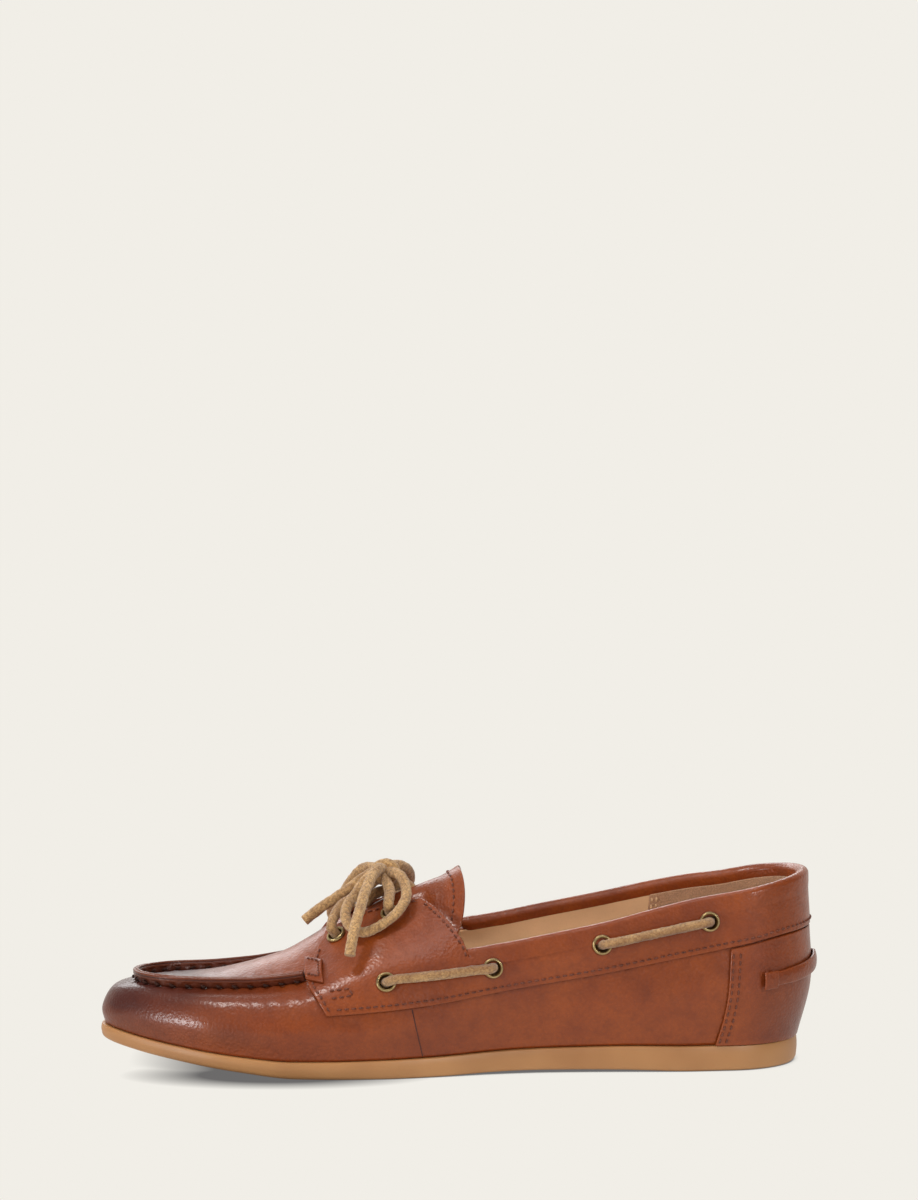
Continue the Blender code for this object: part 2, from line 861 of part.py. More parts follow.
# Each eyelet pair: name, share of the length, and its height as a share of the collar height.
SIDE_EYELETS = (
    ("front_a", 0.5810, 0.503),
    ("front_b", 0.4400, 0.574),
    ("rear_a", 0.2880, 0.690),
    ("rear_b", 0.1370, 0.808),
)
# Each throat pair: name, share of the length, and its half width as a share of the ball width.
THROAT_EYELETS = (
    ("throat_low", 0.672, 0.180),
    ("throat_high", 0.597, 0.185),
)


def eyelet_places():
    """Name, point and normal of every eyelet on the last."""
    places = []
    for side in ("outer", "inner"):
        for name, along, height in SIDE_EYELETS:
            q = q_of(along)
            t = t_at_height(q, side, COLLAR_HEIGHT * height)
            places.append((side + "_" + name, last_point(q, t, side), last_normal(q, t, side)))
        for name, along, half in THROAT_EYELETS:
            q = q_of(along)
            t = t_at_half(q, side, BALL_WIDTH * half)
            places.append((side + "_" + name, last_point(q, t, side), last_normal(q, t, side)))
    return places


def frame_at(point, normal):
    """The placing of a turned piece whose axis is the normal."""
    turn = Vector((0, 0, 1)).rotation_difference(Vector(normal))
    return Matrix.Translation(Vector(point)) @ turn.to_matrix().to_4x4()


def eyelet_seat():
    """Height of the eyelet flange's underside off the last."""
    return LEAF_GAP + SADDLE_LEATHER + GAP


def make_drill(places, cutters):
    """One cutter with a cylinder through each eyelet hole."""
    radius = EYELET_BARREL / 2 + GAP
    mesh = bpy.data.meshes.new("eyelet_drill")
    drill = bmesh.new()
    for _, point, normal in places:
        bmesh.ops.create_cone(
            drill,
            cap_ends=True,
            segments=EYELET_STEPS,
            radius1=radius,
            radius2=radius,
            depth=DRILL_DEPTH,
            matrix=frame_at(point, normal),
        )
    drill.to_mesh(mesh)
    drill.free()
    made = bpy.data.objects.new("eyelet_drill", mesh)
    made.hide_render = True
    made.display_type = "WIRE"
    cutters.objects.link(made)
    return made


def eyelet_mesh(finish):
    """A turned ring: a flange on a barrel, from a profile with a Screw."""
    seat = eyelet_seat()
    outline = (
        (EYELET_FLANGE / 2, seat),
        (EYELET_BARREL / 2, seat),
        (EYELET_BARREL / 2, seat - EYELET_DEPTH),
        (EYELET_HOLE / 2, seat - EYELET_DEPTH),
        (EYELET_HOLE / 2, seat + EYELET_HEIGHT),
        (EYELET_FLANGE / 2 - FLANGE_BEVEL, seat + EYELET_HEIGHT),
    )
    mesh = bpy.data.meshes.new("eyelet")
    points = [(r, 0.0, z) for r, z in outline]
    edges = [(i, (i + 1) % len(points)) for i in range(len(points))]
    mesh.from_pydata(points, edges, [])
    mesh.materials.append(finish)
    return mesh


def make_eyelets(places, finish, home):
    profile = eyelet_mesh(finish)
    for name, point, normal in places:
        made = bpy.data.objects.new("eyelet_" + name, profile)
        made.matrix_world = frame_at(point, normal)
        home.objects.link(made)
        turn = made.modifiers.new("turn", "SCREW")
        turn.steps = EYELET_STEPS
        turn.render_steps = EYELET_STEPS
        turn.use_merge_vertices = True
        turn.merge_threshold = 0.0001


# Spacing of a cord's points, in lace widths
LACE_STEP = 2.0
SIDE_LACE_STEP = 2.4
STRAND_STEP = 1.5


def make_side_laces(finish, home):
    """The lace along each side, from one eyelet's mouth to the next, over the flanges."""
    lift = eyelet_seat() + EYELET_HEIGHT + GAP + LACE / 2
    count = 6
    for side in ("outer", "inner"):
        for first, second in ((0, 1), (2, 3)):
            name, a, a_height = SIDE_EYELETS[first]
            _, b, b_height = SIDE_EYELETS[second]
            points = []
            for i in range(count + 1):
                share = i / count
                q = q_of(a + (b - a) * share)
                height = COLLAR_HEIGHT * (a_height + (b_height - a_height) * share)
                points.append(offset_point(q, t_at_height(q, side, height), side, lift))
            stretch = "side_lace_" + side + "_" + name[:-2]
            tube(stretch, smooth_route(points, SIDE_LACE_STEP * LACE), LACE / 2, finish, home)


# The bow's routes, chosen by hand over the flaps.
KNOT_PLACE = (-0.0285, -0.0020, 0.0705)
KNOT_RADII = (0.0052, 0.0048, 0.0040)
LOOP_OUTER = (
    (-0.0246, -0.0078, 0.0702),
    (-0.0220, -0.0108, 0.0691),
    (-0.0205, -0.0140, 0.0662),
    (-0.0204, -0.0180, 0.0624),
    (-0.0226, -0.0215, 0.0589),
    (-0.0263, -0.0235, 0.0555),
    (-0.0310, -0.0250, 0.0527),
    (-0.0353, -0.0255, 0.0511),
    (-0.0386, -0.0250, 0.0516),
    (-0.0413, -0.0230, 0.0535),
    (-0.0424, -0.0200, 0.0561),
    (-0.0415, -0.0160, 0.0595),
    (-0.0389, -0.0120, 0.0624),
    (-0.0366, -0.0096, 0.0655),
    (-0.0345, -0.0086, 0.0680),
)
LOOP_INNER = (
    (-0.0244, 0.0042, 0.0713),
    (-0.0210, 0.0074, 0.0702),
    (-0.0188, 0.0120, 0.0676),
    (-0.0182, 0.0165, 0.0640),
    (-0.0200, 0.0205, 0.0598),
    (-0.0245, 0.0235, 0.0560),
    (-0.0300, 0.0250, 0.0533),
    (-0.0353, 0.0255, 0.0516),
    (-0.0392, 0.0245, 0.0520),
    (-0.0420, 0.0220, 0.0540),
    (-0.0430, 0.0185, 0.0567),
    (-0.0422, 0.0152, 0.0603),
    (-0.0402, 0.0120, 0.0640),
    (-0.0376, 0.0088, 0.0678),
    (-0.0352, 0.0062, 0.0700),
)
END_HANGING = (
    (-0.0300, -0.0082, 0.0719),
    (-0.0322, -0.0122, 0.0702),
    (-0.0342, -0.0170, 0.0671),
    (-0.0357, -0.0215, 0.0640),
    (-0.0370, -0.0262, 0.0600),
    (-0.0383, -0.0298, 0.0562),
    (-0.0394, -0.0325, 0.0522),
    (-0.0403, -0.0350, 0.0483),
    (-0.0409, -0.0370, 0.0445),
)
END_FREE = (
    (-0.0358, -0.0015, 0.0674),
    (-0.0398, -0.0015, 0.0642),
    (-0.0451, -0.0015, 0.0605),
    (-0.0506, -0.0015, 0.0568),
    (-0.0546, -0.0015, 0.0538),
    (-0.0574, -0.0015, 0.0515),
)
# The strand from each throat eyelet up to the knot, on the outer side; the inner side mirrors it.
STRAND_LOW = ((-0.0445, -0.0110, 0.0580), (-0.0385, -0.0060, 0.0615), (-0.0320, -0.0035, 0.0660))
STRAND_HIGH = ((-0.0262, -0.0115, 0.0640), (-0.0275, -0.0060, 0.0675))


def make_knot(places, finish, home, cutters):
    """The knot, joined with the four strands that rise to it from the throat eyelets."""
    mesh = bpy.data.meshes.new("bow_knot")
    ball = bmesh.new()
    bmesh.ops.create_uvsphere(ball, u_segments=10, v_segments=7, radius=1.0)
    bmesh.ops.scale(ball, vec=KNOT_RADII, verts=ball.verts)
    bmesh.ops.translate(ball, vec=KNOT_PLACE, verts=ball.verts)
    ball.to_mesh(mesh)
    ball.free()
    mesh.materials.append(finish)
    knot = bpy.data.objects.new("bow_knot", mesh)
    home.objects.link(knot)
    clear = eyelet_seat() + EYELET_HEIGHT + 2 * GAP
    for name, point, normal in places:
        if "throat" not in name:
            continue
        sign = -1.0 if name.startswith("outer") else 1.0
        middle = STRAND_LOW if name.endswith("low") else STRAND_HIGH
        route = [point + normal * clear, point + normal * (clear + 0.7 * LACE)]
        route += [(x, -sign * y, z) for x, y, z in middle]
        route.append(KNOT_PLACE)
        strand = tube("strand_" + name, smooth_route(route, STRAND_STEP * LACE), LACE / 2, finish, cutters)
        solid = as_mesh(strand, finish, cutters)
        solid.hide_render = True
        solid.display_type = "WIRE"
        boolean(knot, solid, "UNION")


def make_bow(finish, home):
    for name, route in (
        ("bow_loop_outer", LOOP_OUTER),
        ("bow_loop_inner", LOOP_INNER),
        ("bow_end_hanging", END_HANGING),
        ("bow_end_free", END_FREE),
    ):
        tube(name, smooth_route(route, LACE_STEP * LACE), LACE / 2, finish, home)


def main():
    for old in list(bpy.data.objects):
        bpy.data.objects.remove(old)
    shoe = collection("boat_shoe")
    cutters = collection("cutters")
    leather = material("burnished leather", LEATHER_COLOUR, 0.42)
    dark_leather = material("dark leather", DARK_LEATHER_COLOUR, 0.42)
    gum = material("gum rubber", GUM_COLOUR, 0.5)
    lining = material("lining leather", LINING_COLOUR, 0.6)
    brass = material("antique brass", BRASS_COLOUR, 0.38, 1.0)
    suede = material("rawhide lace", LACE_COLOUR, 0.9)

    make_outsole(gum, shoe)
    make_insole(lining, shoe)
    upper = make_upper(leather, shoe)
    saddle = make_saddle(leather, shoe)
    make_tongue(leather, shoe)
    make_counter(leather, shoe)
    make_strap(dark_leather, shoe)
    make_ridge(dark_leather, shoe)
    make_collar_roll(leather, shoe)
    places = eyelet_places()
    drill = make_drill(places, cutters)
    boolean(upper, drill, "DIFFERENCE")
    boolean(saddle, drill, "DIFFERENCE")
    make_eyelets(places, brass, shoe)
    make_side_laces(suede, shoe)
    make_knot(places, suede, shoe, cutters)
    make_bow(suede, shoe)


if __name__ == "__main__":
    main()
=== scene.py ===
"""Looks of a leather boat shoe for the left foot, built over the packed model.

Metres, +Z up. The toe points to -X and the outer side of the foot is at -Y. Every leather piece is
read from one last surface, a loft through five level lines, so that it lies where its solid lies.
"""

import functools
import math

import bmesh
import bpy
import numpy as np
from bpy.props import FloatProperty, FloatVectorProperty, PointerProperty
from mathutils import Matrix, Vector, noise


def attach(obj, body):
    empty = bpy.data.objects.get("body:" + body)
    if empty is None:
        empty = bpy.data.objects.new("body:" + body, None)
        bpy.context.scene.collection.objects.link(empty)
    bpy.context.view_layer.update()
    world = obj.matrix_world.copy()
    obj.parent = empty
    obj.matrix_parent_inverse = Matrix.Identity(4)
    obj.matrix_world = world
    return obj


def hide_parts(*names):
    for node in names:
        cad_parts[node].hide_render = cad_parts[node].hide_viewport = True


bl_info = {
    "name": "Leather boat shoe",
    "version": (1, 0, 0),
    "blender": (4, 5, 0),
    "location": "View3D > Sidebar > Boat shoe",
    "description": "Builds a leather boat shoe with its stitching, laces and stage",
    "category": "Object",
}

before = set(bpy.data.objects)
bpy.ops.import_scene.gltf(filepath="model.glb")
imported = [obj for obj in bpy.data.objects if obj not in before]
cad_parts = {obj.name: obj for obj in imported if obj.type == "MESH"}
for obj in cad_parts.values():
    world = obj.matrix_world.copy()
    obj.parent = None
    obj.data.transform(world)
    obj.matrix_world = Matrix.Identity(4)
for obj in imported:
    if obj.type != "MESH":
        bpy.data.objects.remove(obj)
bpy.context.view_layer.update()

MM = 0.001

# Driving sizes
SOLE_LENGTH = 0.2568
BALL_WIDTH = 0.083
COLLAR_HEIGHT = 0.068
INSTEP_HEIGHT = 0.063
SOLE_THICKNESS = 0.0093
TOE_SPRING = 0.0088
ARCH_LIFT = 0.0009
TOE_X = -0.1320
UPPER_WALL = 0.0018
SADDLE_LEATHER = 0.0013
COUNTER_LEATHER = 0.001
STRAP_LEATHER = 0.0012
STRAP_WIDTH = 0.0054
INSOLE_THICKNESS = 0.002
TONGUE_THICKNESS = 0.0022
TONGUE_RISE = 0.0062
TONGUE_COVER = 0.002
WELT_MARGIN = 0.0012
SOLE_ROUND = 0.0016
SOLE_LIP = 0.0006
COLLAR_ROLL = 0.0041
SEAM_RIDGE = 0.003
LACE = 0.004
EYELET_HOLE = 0.005
EYELET_BARREL = 0.0058
EYELET_FLANGE = 0.0074
EYELET_HEIGHT = 0.0009
EYELET_DEPTH = 0.0036
GAP = 0.0003
LEAF_GAP = 0.0006
TONGUE_GAP = 0.001
SEAM_GAP = 0.0006
HEM_GAP = 0.0006
DRILL_DEPTH = 0.014

HEEL_X = TOE_X + SOLE_LENGTH

# Places and cuts as shares of the length. The seam knot is the share of a column at its seam
# point, and the normal step is a small share used for slopes.
THROAT_FRONT = 0.667
FLAP_CORNER = 0.5535
COLLAR_CORNER = 0.478
TONGUE_FRONT = 0.728
TONGUE_END = 0.4905
TONGUE_CROWN_CUT = 0.0095
TONGUE_CORNER_CUT = 0.0200
SEAM_KNOT = 0.75
SADDLE_FADE = 0.56
NORMAL_STEP = 0.002


class Table:
    """A short table with named columns, read smoothly between its rows without overshoot."""

    def __init__(self, columns, rows):
        self.columns = columns
        self.values = np.array(rows, float)
        self.slopes = {}
        x = self.values[:, 0]
        step = np.diff(x)
        for number, name in enumerate(columns[1:], 1):
            rise = np.diff(self.values[:, number]) / step
            slope = np.zeros(len(x))
            slope[0], slope[-1] = rise[0], rise[-1]
            for i in range(1, len(x) - 1):
                if rise[i - 1] * rise[i] > 0:
                    before = 2 * step[i] + step[i - 1]
                    after = step[i] + 2 * step[i - 1]
                    slope[i] = (before + after) / (before / rise[i - 1] + after / rise[i])
            self.slopes[name] = slope

    def at(self, name, along):
        """The value of one column at a share of the length, held past both ends."""
        x = self.values[:, 0]
        y = self.values[:, self.columns.index(name)]
        along = min(max(along, x[0]), x[-1])
        i = min(int(np.searchsorted(x, along, side="right")) - 1, len(x) - 2)
        i = max(i, 0)
        step = x[i + 1] - x[i]
        t = (along - x[i]) / step
        s0, s1 = self.slopes[name][i] * step, self.slopes[name][i + 1] * step
        t2, t3 = t * t, t * t * t
        return (
            (2 * t3 - 3 * t2 + 1) * y[i]
            + (t3 - 2 * t2 + t) * s0
            + (3 * t2 - 2 * t3) * y[i + 1]
            + (t3 - t2) * s1
        )


# Every table starts at the heel. Along is a share of the sole's length, half widths are shares
# of the ball width, and the round ends are cut into them by the level's two radii.
OUTLINE = Table(
    ("along", "outer", "inner"),
    [
        (0.00, 0.310, 0.310),
        (0.10, 0.325, 0.315),
        (0.18, 0.345, 0.330),
        (0.28, 0.345, 0.305),
        (0.36, 0.352, 0.275),
        (0.44, 0.385, 0.272),
        (0.52, 0.445, 0.325),
        (0.60, 0.495, 0.412),
        (0.66, 0.507, 0.476),
        (0.73, 0.496, 0.507),
        (0.82, 0.440, 0.458),
        (0.90, 0.350, 0.402),
        (0.96, 0.293, 0.373),
        (1.00, 0.265, 0.350),
    ],
)
# Thickness is a share of the heel's, spring a share of the toe spring, arch of the arch lift.
SOLE_PROFILE = Table(
    ("along", "thickness", "spring", "arch"),
    [
        (0.00, 1.00, 0.05, 0.0),
        (0.02, 1.00, 0.00, 0.0),
        (0.16, 0.99, 0.00, 0.0),
        (0.27, 0.93, 0.00, 0.8),
        (0.40, 0.84, 0.00, 1.0),
        (0.54, 0.76, 0.00, 0.0),
        (0.66, 0.69, 0.00, 0.0),
        (0.72, 0.66, 0.01, 0.0),
        (0.79, 0.60, 0.19, 0.0),
        (0.86, 0.57, 0.43, 0.0),
        (0.93, 0.56, 0.68, 0.0),
        (1.00, 0.56, 1.00, 0.0),
    ],
)
# Heights of the belly, roll and seam are shares of the collar height.
BELLY = Table(
    ("along", "outer", "inner", "height"),
    [
        (-0.02, 0.322, 0.322, 0.44),
        (0.10, 0.345, 0.333, 0.41),
        (0.18, 0.361, 0.347, 0.37),
        (0.28, 0.362, 0.337, 0.32),
        (0.36, 0.368, 0.320, 0.31),
        (0.44, 0.397, 0.325, 0.295),
        (0.52, 0.450, 0.366, 0.285),
        (0.60, 0.495, 0.430, 0.272),
        (0.66, 0.503, 0.480, 0.265),
        (0.73, 0.492, 0.505, 0.257),
        (0.82, 0.440, 0.458, 0.262),
        (0.90, 0.352, 0.404, 0.270),
        (1.00, 0.270, 0.352, 0.288),
    ],
)
ROLL = Table(
    ("along", "outer", "inner", "height"),
    [
        (-0.02, 0.312, 0.312, 0.73),
        (0.10, 0.325, 0.319, 0.70),
        (0.18, 0.340, 0.332, 0.65),
        (0.28, 0.354, 0.335, 0.57),
        (0.36, 0.368, 0.332, 0.51),
        (0.44, 0.395, 0.342, 0.48),
        (0.52, 0.433, 0.374, 0.46),
        (0.60, 0.465, 0.415, 0.445),
        (0.66, 0.470, 0.440, 0.42),
        (0.73, 0.446, 0.440, 0.397),
        (0.82, 0.386, 0.404, 0.395),
        (0.90, 0.302, 0.344, 0.397),
        (1.00, 0.230, 0.290, 0.405),
    ],
)
# The seam line is the moccasin seam in front and the top of the quarters behind.
SEAM = Table(
    ("along", "outer", "inner", "outer_height", "inner_height"),
    [
        (-0.0075, 0.300, 0.300, 0.984, 0.984),
        (0.05, 0.303, 0.300, 0.938, 0.948),
        (0.10, 0.307, 0.301, 0.902, 0.911),
        (0.15, 0.316, 0.308, 0.871, 0.887),
        (0.20, 0.325, 0.313, 0.828, 0.853),
        (0.28, 0.341, 0.323, 0.750, 0.787),
        (0.36, 0.359, 0.325, 0.690, 0.728),
        (0.44, 0.377, 0.333, 0.637, 0.668),
        (0.478, 0.383, 0.338, 0.619, 0.650),
        (0.52, 0.389, 0.350, 0.617, 0.640),
        (0.60, 0.388, 0.361, 0.600, 0.605),
        (0.66, 0.354, 0.346, 0.556, 0.556),
        (0.70, 0.320, 0.323, 0.503, 0.503),
        (0.747, 0.293, 0.297, 0.468, 0.468),
        (0.79, 0.268, 0.274, 0.450, 0.448),
        (0.86, 0.222, 0.228, 0.441, 0.437),
        (0.92, 0.187, 0.195, 0.443, 0.439),
        (0.948, 0.175, 0.180, 0.444, 0.444),
    ],
)
# The crown's height is a share of the instep height. Behind the throat it is only a guide line.
CROWN = Table(
    ("along", "half", "height"),
    [
        (-0.02, 0.24, 1.46),
        (0.28, 0.24, 1.25),
        (0.41, 0.22, 1.16),
        (0.465, 0.00, 1.12),
        (0.486, 0.00, 1.100),
        (0.525, 0.00, 1.048),
        (0.553, 0.00, 1.004),
        (0.588, 0.00, 0.957),
        (0.624, 0.00, 0.903),
        (0.663, 0.00, 0.820),
        (0.6745, 0.00, 0.790),
        (0.708, 0.00, 0.705),
        (0.737, 0.00, 0.640),
        (0.761, 0.00, 0.607),
        (0.80, 0.00, 0.561),
        (0.839, 0.00, 0.526),
        (0.878, 0.00, 0.505),
        (0.93, 0.00, 0.496),
    ],
)
# Half width of the throat and then of the flap's rear edge, from the collar corner forward.
THROAT = Table(
    ("along", "half"),
    [
        (0.478, 0.400),
        (0.483, 0.362),
        (0.500, 0.308),
        (0.518, 0.252),
        (0.536, 0.195),
        (0.5535, 0.140),
        (0.60, 0.122),
        (0.70, 0.100),
    ],
)
# The tongue's half width, and how far it stands up off the last as a share of its rise.
TONGUE_HALF = Table(
    ("along", "half", "rise"),
    [
        (0.49, 0.335, 1.0),
        (0.51, 0.335, 0.72),
        (0.53, 0.325, 0.56),
        (0.56, 0.310, 0.56),
        (0.60, 0.270, 0.50),
        (0.64, 0.235, 0.20),
        (0.66, 0.220, 0.04),
        (0.73, 0.180, 0.0),
    ],
)
# Lower edge of the saddle, as a share of the collar height.
SADDLE_HEM = Table(
    ("along", "height"),
    [
        (-0.02, 0.752),
        (0.031, 0.731),
        (0.095, 0.678),
        (0.185, 0.608),
        (0.284, 0.533),
        (0.404, 0.459),
        (0.513, 0.386),
        (0.60, 0.352),
        (0.677, 0.329),
    ],
)
# Front edge of the saddle: share of the way up from the hem, and place along the length.
SADDLE_FRONT = Table(
    ("up", "along"),
    [
        (0.00, 0.677),
        (0.25, 0.690),
        (0.45, 0.7005),
        (0.65, 0.7025),
        (0.85, 0.692),
        (1.00, 0.676),
    ],
)
# Front edge of the heel counter: share of the way up from the sole, and place along the length.
COUNTER_FRONT = Table(
    ("up", "along"),
    [
        (0.00, 0.128),
        (0.30, 0.117),
        (0.60, 0.110),
        (1.00, 0.1065),
    ],
)
STRAP_FRONT = 0.060
STRAP_HEIGHT_FRONT = 0.492
STRAP_HEIGHT_BACK = 0.552


class Level:
    """One level line of the last: its two ends along the length, its end radii and its table."""

    def __init__(self, table, back, front, heel_round, toe_round):
        self.table = table
        self.back = back
        self.front = front
        self.heel_round = heel_round
        self.toe_round = toe_round

    def along(self, q):
        """The share of the length at a share q of the way from the heel point to the toe point."""
        return self.back + (self.front - self.back) * (1 - math.cos(math.pi * q)) / 2

    def half(self, along, side, inset=0.0):
        """The half width there, with both ends rounded in."""
        half = BALL_WIDTH * self.table.at(side, along) - inset
        from_back = (along - self.back) * SOLE_LENGTH
        from_front = (self.front - along) * SOLE_LENGTH
        return half * round_end(from_back, self.heel_round) * round_end(from_front, self.toe_round)


def round_end(distance, radius):
    """How far a half width has opened at a distance from its round end."""
    if distance >= radius:
        return 1.0
    short = radius - max(distance, 0.0)
    return math.sqrt(max(0.0, 1 - (short / radius) ** 2))


def x_at(along):
    return HEEL_X - SOLE_LENGTH * along


def sign_of(side):
    return -1.0 if side == "outer" else 1.0


def sole_bottom(along):
    """The height of the tread: the toe spring and the arch."""
    spring = TOE_SPRING * SOLE_PROFILE.at("spring", along)
    return spring + ARCH_LIFT * SOLE_PROFILE.at("arch", along)


def sole_top(along):
    return sole_bottom(along) + SOLE_THICKNESS * SOLE_PROFILE.at("thickness", along)


def sole_level(inset):
    """The sole's outline, drawn in by an inset."""
    share = inset / SOLE_LENGTH
    return Level(OUTLINE, share, 1 - share, 0.027 - inset, 0.041 - inset)


FEATHER_LEVEL = sole_level(WELT_MARGIN)
BELLY_LEVEL = Level(BELLY, -0.0140, 0.9995, 0.029, 0.041)
ROLL_LEVEL = Level(ROLL, -0.0115, 0.9830, 0.028, 0.036)
SEAM_LEVEL = Level(SEAM, -0.0075, 0.9480, 0.027, 0.016)
CROWN_LEVEL = Level(CROWN, -0.0070, 0.9250, 0.024, 0.010)


@functools.lru_cache(maxsize=None)
def column_points(q, side):
    """The five points of one column of the last, from the feather to the crown."""
    sign = sign_of(side)
    along = FEATHER_LEVEL.along(q)
    half = FEATHER_LEVEL.half(along, side, WELT_MARGIN)
    points = [(x_at(along), sign * half, sole_top(along) + GAP)]
    heights = ("height", "height", side + "_height")
    for level, height in zip((BELLY_LEVEL, ROLL_LEVEL, SEAM_LEVEL), heights):
        along = level.along(q)
        z = COLLAR_HEIGHT * level.table.at(height, along)
        points.append((x_at(along), sign * level.half(along, side), z))
    along = CROWN_LEVEL.along(q)
    half = CROWN_LEVEL.half(along, "half")
    points.append((x_at(along), sign * half, INSTEP_HEIGHT * CROWN.at("height", along)))
    return np.array(points)


def curve_slopes(a, b, c, d):
    """The slopes at b and at c of the smooth curve that runs through all four points."""
    before = max(np.linalg.norm(b - a), 1e-6) ** 0.5
    here = max(np.linalg.norm(c - b), 1e-6) ** 0.5
    after = max(np.linalg.norm(d - c), 1e-6) ** 0.5
    start = here * ((b - a) / before - (c - a) / (before + here) + (c - b) / here)
    end = here * ((c - b) / here - (d - b) / (here + after) + (d - c) / after)
    return start, end


@functools.lru_cache(maxsize=None)
def column_curve(q, side):
    """The cubic pieces of one column's curve, each four points: value, slope, bend and turn."""
    points = column_points(q, side)
    first = 2 * points[0] - points[1]
    last = np.array((points[3][0], -points[3][1], points[3][2]))
    if abs(points[4][1]) > MM:
        last = 2 * points[4] - points[3]
    knots = np.vstack([first, points, last])
    pieces = []
    for i in range(4):
        a, b, c, d = knots[i : i + 4]
        start, end = curve_slopes(a, b, c, d)
        pieces.append((b, start, 3 * (c - b) - 2 * start - end, 2 * (b - c) + start + end))
    flat = [[tuple(float(v) for v in part) for part in piece] for piece in pieces]
    return pieces, flat


def last_point(q, t, side):
    """A point of the last: t runs from 0 at the feather to 1 at the crown."""
    i = min(int(t * 4), 3)
    s = t * 4 - i
    a, b, c, d = column_curve(q, side)[0][i]
    return a + s * (b + s * (c + s * d))


def last_part(q, t, side, axis):
    """One coordinate of a point of the last."""
    i = min(int(t * 4), 3)
    s = t * 4 - i
    a, b, c, d = column_curve(q, side)[1][i]
    return a[axis] + s * (b[axis] + s * (c[axis] + s * d[axis]))


def last_normal(q, t, side):
    """The outward normal of the last."""
    low, high = max(q - NORMAL_STEP, 0.0), min(q + NORMAL_STEP, 1.0)
    lower, upper = max(t - NORMAL_STEP, 0.0), min(t + NORMAL_STEP, 1.0)
    up = last_point(q, upper, side) - last_point(q, lower, side)
    if low == 0.0:
        along = np.array((0.0, sign_of(side), 0.0))
    elif high == 1.0:
        along = np.array((0.0, -sign_of(side), 0.0))
    else:
        along = last_point(high, t, side) - last_point(low, t, side)
    normal = np.cross(along, up) * sign_of(side)
    return normal / np.linalg.norm(normal)


def offset_point(q, t, side, offset):
    """A point off the last along its normal, outward where the offset is positive."""
    return last_point(q, t, side) + offset * last_normal(q, t, side)


def q_of(along, level=SEAM_LEVEL):
    """The column whose seam point lies at a share of the length."""
    share = (along - level.back) / (level.front - level.back)
    return math.acos(1 - 2 * min(max(share, 0.0), 1.0)) / math.pi


def t_at_height(q, side, height, high=SEAM_KNOT):
    """Where a column of the last reaches a height."""
    low = 0.0
    for _ in range(30):
        middle = (low + high) / 2
        if last_part(q, middle, side, 2) < height:
            low = middle
        else:
            high = middle
    return (low + high) / 2


def t_at_half(q, side, half):
    """Where a column of the last has come in to a half width, above its seam point."""
    low, high = SEAM_KNOT, 1.0
    for _ in range(30):
        middle = (low + high) / 2
        if abs(last_part(q, middle, side, 1)) > half:
            low = middle
        else:
            high = middle
    return (low + high) / 2


def column_reaching(side, along, place):
    """The column whose point lies at a share of the length, where place gives its t."""
    target = x_at(along)
    low, high = 0.0, 1.0
    for _ in range(24):
        middle = (low + high) / 2
        if last_part(middle, place(middle), side, 0) > target:
            low = middle
        else:
            high = middle
    return (low + high) / 2


def rim(q, side):
    """The top edge of the leather: the collar, the flap's rear edge and the throat."""
    along = SEAM_LEVEL.along(q)
    if along < COLLAR_CORNER:
        return SEAM_KNOT
    return t_at_half(q, side, BALL_WIDTH * THROAT.at("half", along))


def flap_columns():
    """The columns that carry the corners and the straight rear edge of the flaps."""
    return [q_of(along) for along in THROAT.values[:, 0] if along <= FLAP_CORNER]


def stations(count, specials, first=0.0, last=1.0):
    """Evenly spaced columns, with the special ones in place of those that lie near them."""
    step = (last - first) / count
    even = [first + step * i for i in range(1, count)]
    kept = [q for q in even if all(abs(q - special) > 0.45 * step for special in specials)]
    return sorted([first, last] + kept + list(specials))


# Each eyelet pair: name, share of the length, and its height as a share of the collar height.
SIDE_EYELETS = (
    ("front_a", 0.5810, 0.503),
    ("front_b", 0.4400, 0.574),
    ("rear_a", 0.2880, 0.690),
    ("rear_b", 0.1370, 0.808),
)
# Each throat pair: name, share of the length, and its half width as a share of the ball width.
THROAT_EYELETS = (
    ("throat_low", 0.672, 0.180),
    ("throat_high", 0.597, 0.185),
)


def eyelet_places():
    """Name, point and normal of every eyelet on the last."""
    places = []
    for side in ("outer", "inner"):
        for name, along, height in SIDE_EYELETS:
            q = q_of(along)
            t = t_at_height(q, side, COLLAR_HEIGHT * height)
            places.append((side + "_" + name, last_point(q, t, side), last_normal(q, t, side)))
        for name, along, half in THROAT_EYELETS:
            q = q_of(along)
            t = t_at_half(q, side, BALL_WIDTH * half)
            places.append((side + "_" + name, last_point(q, t, side), last_normal(q, t, side)))
    return places


def frame_at(point, normal):
    """The placing of a turned piece whose axis is the normal."""
    turn = Vector((0, 0, 1)).rotation_difference(Vector(normal))
    return Matrix.Translation(Vector(point)) @ turn.to_matrix().to_4x4()


def eyelet_seat():
    """Height of the eyelet flange's underside off the last."""
    return LEAF_GAP + SADDLE_LEATHER + GAP


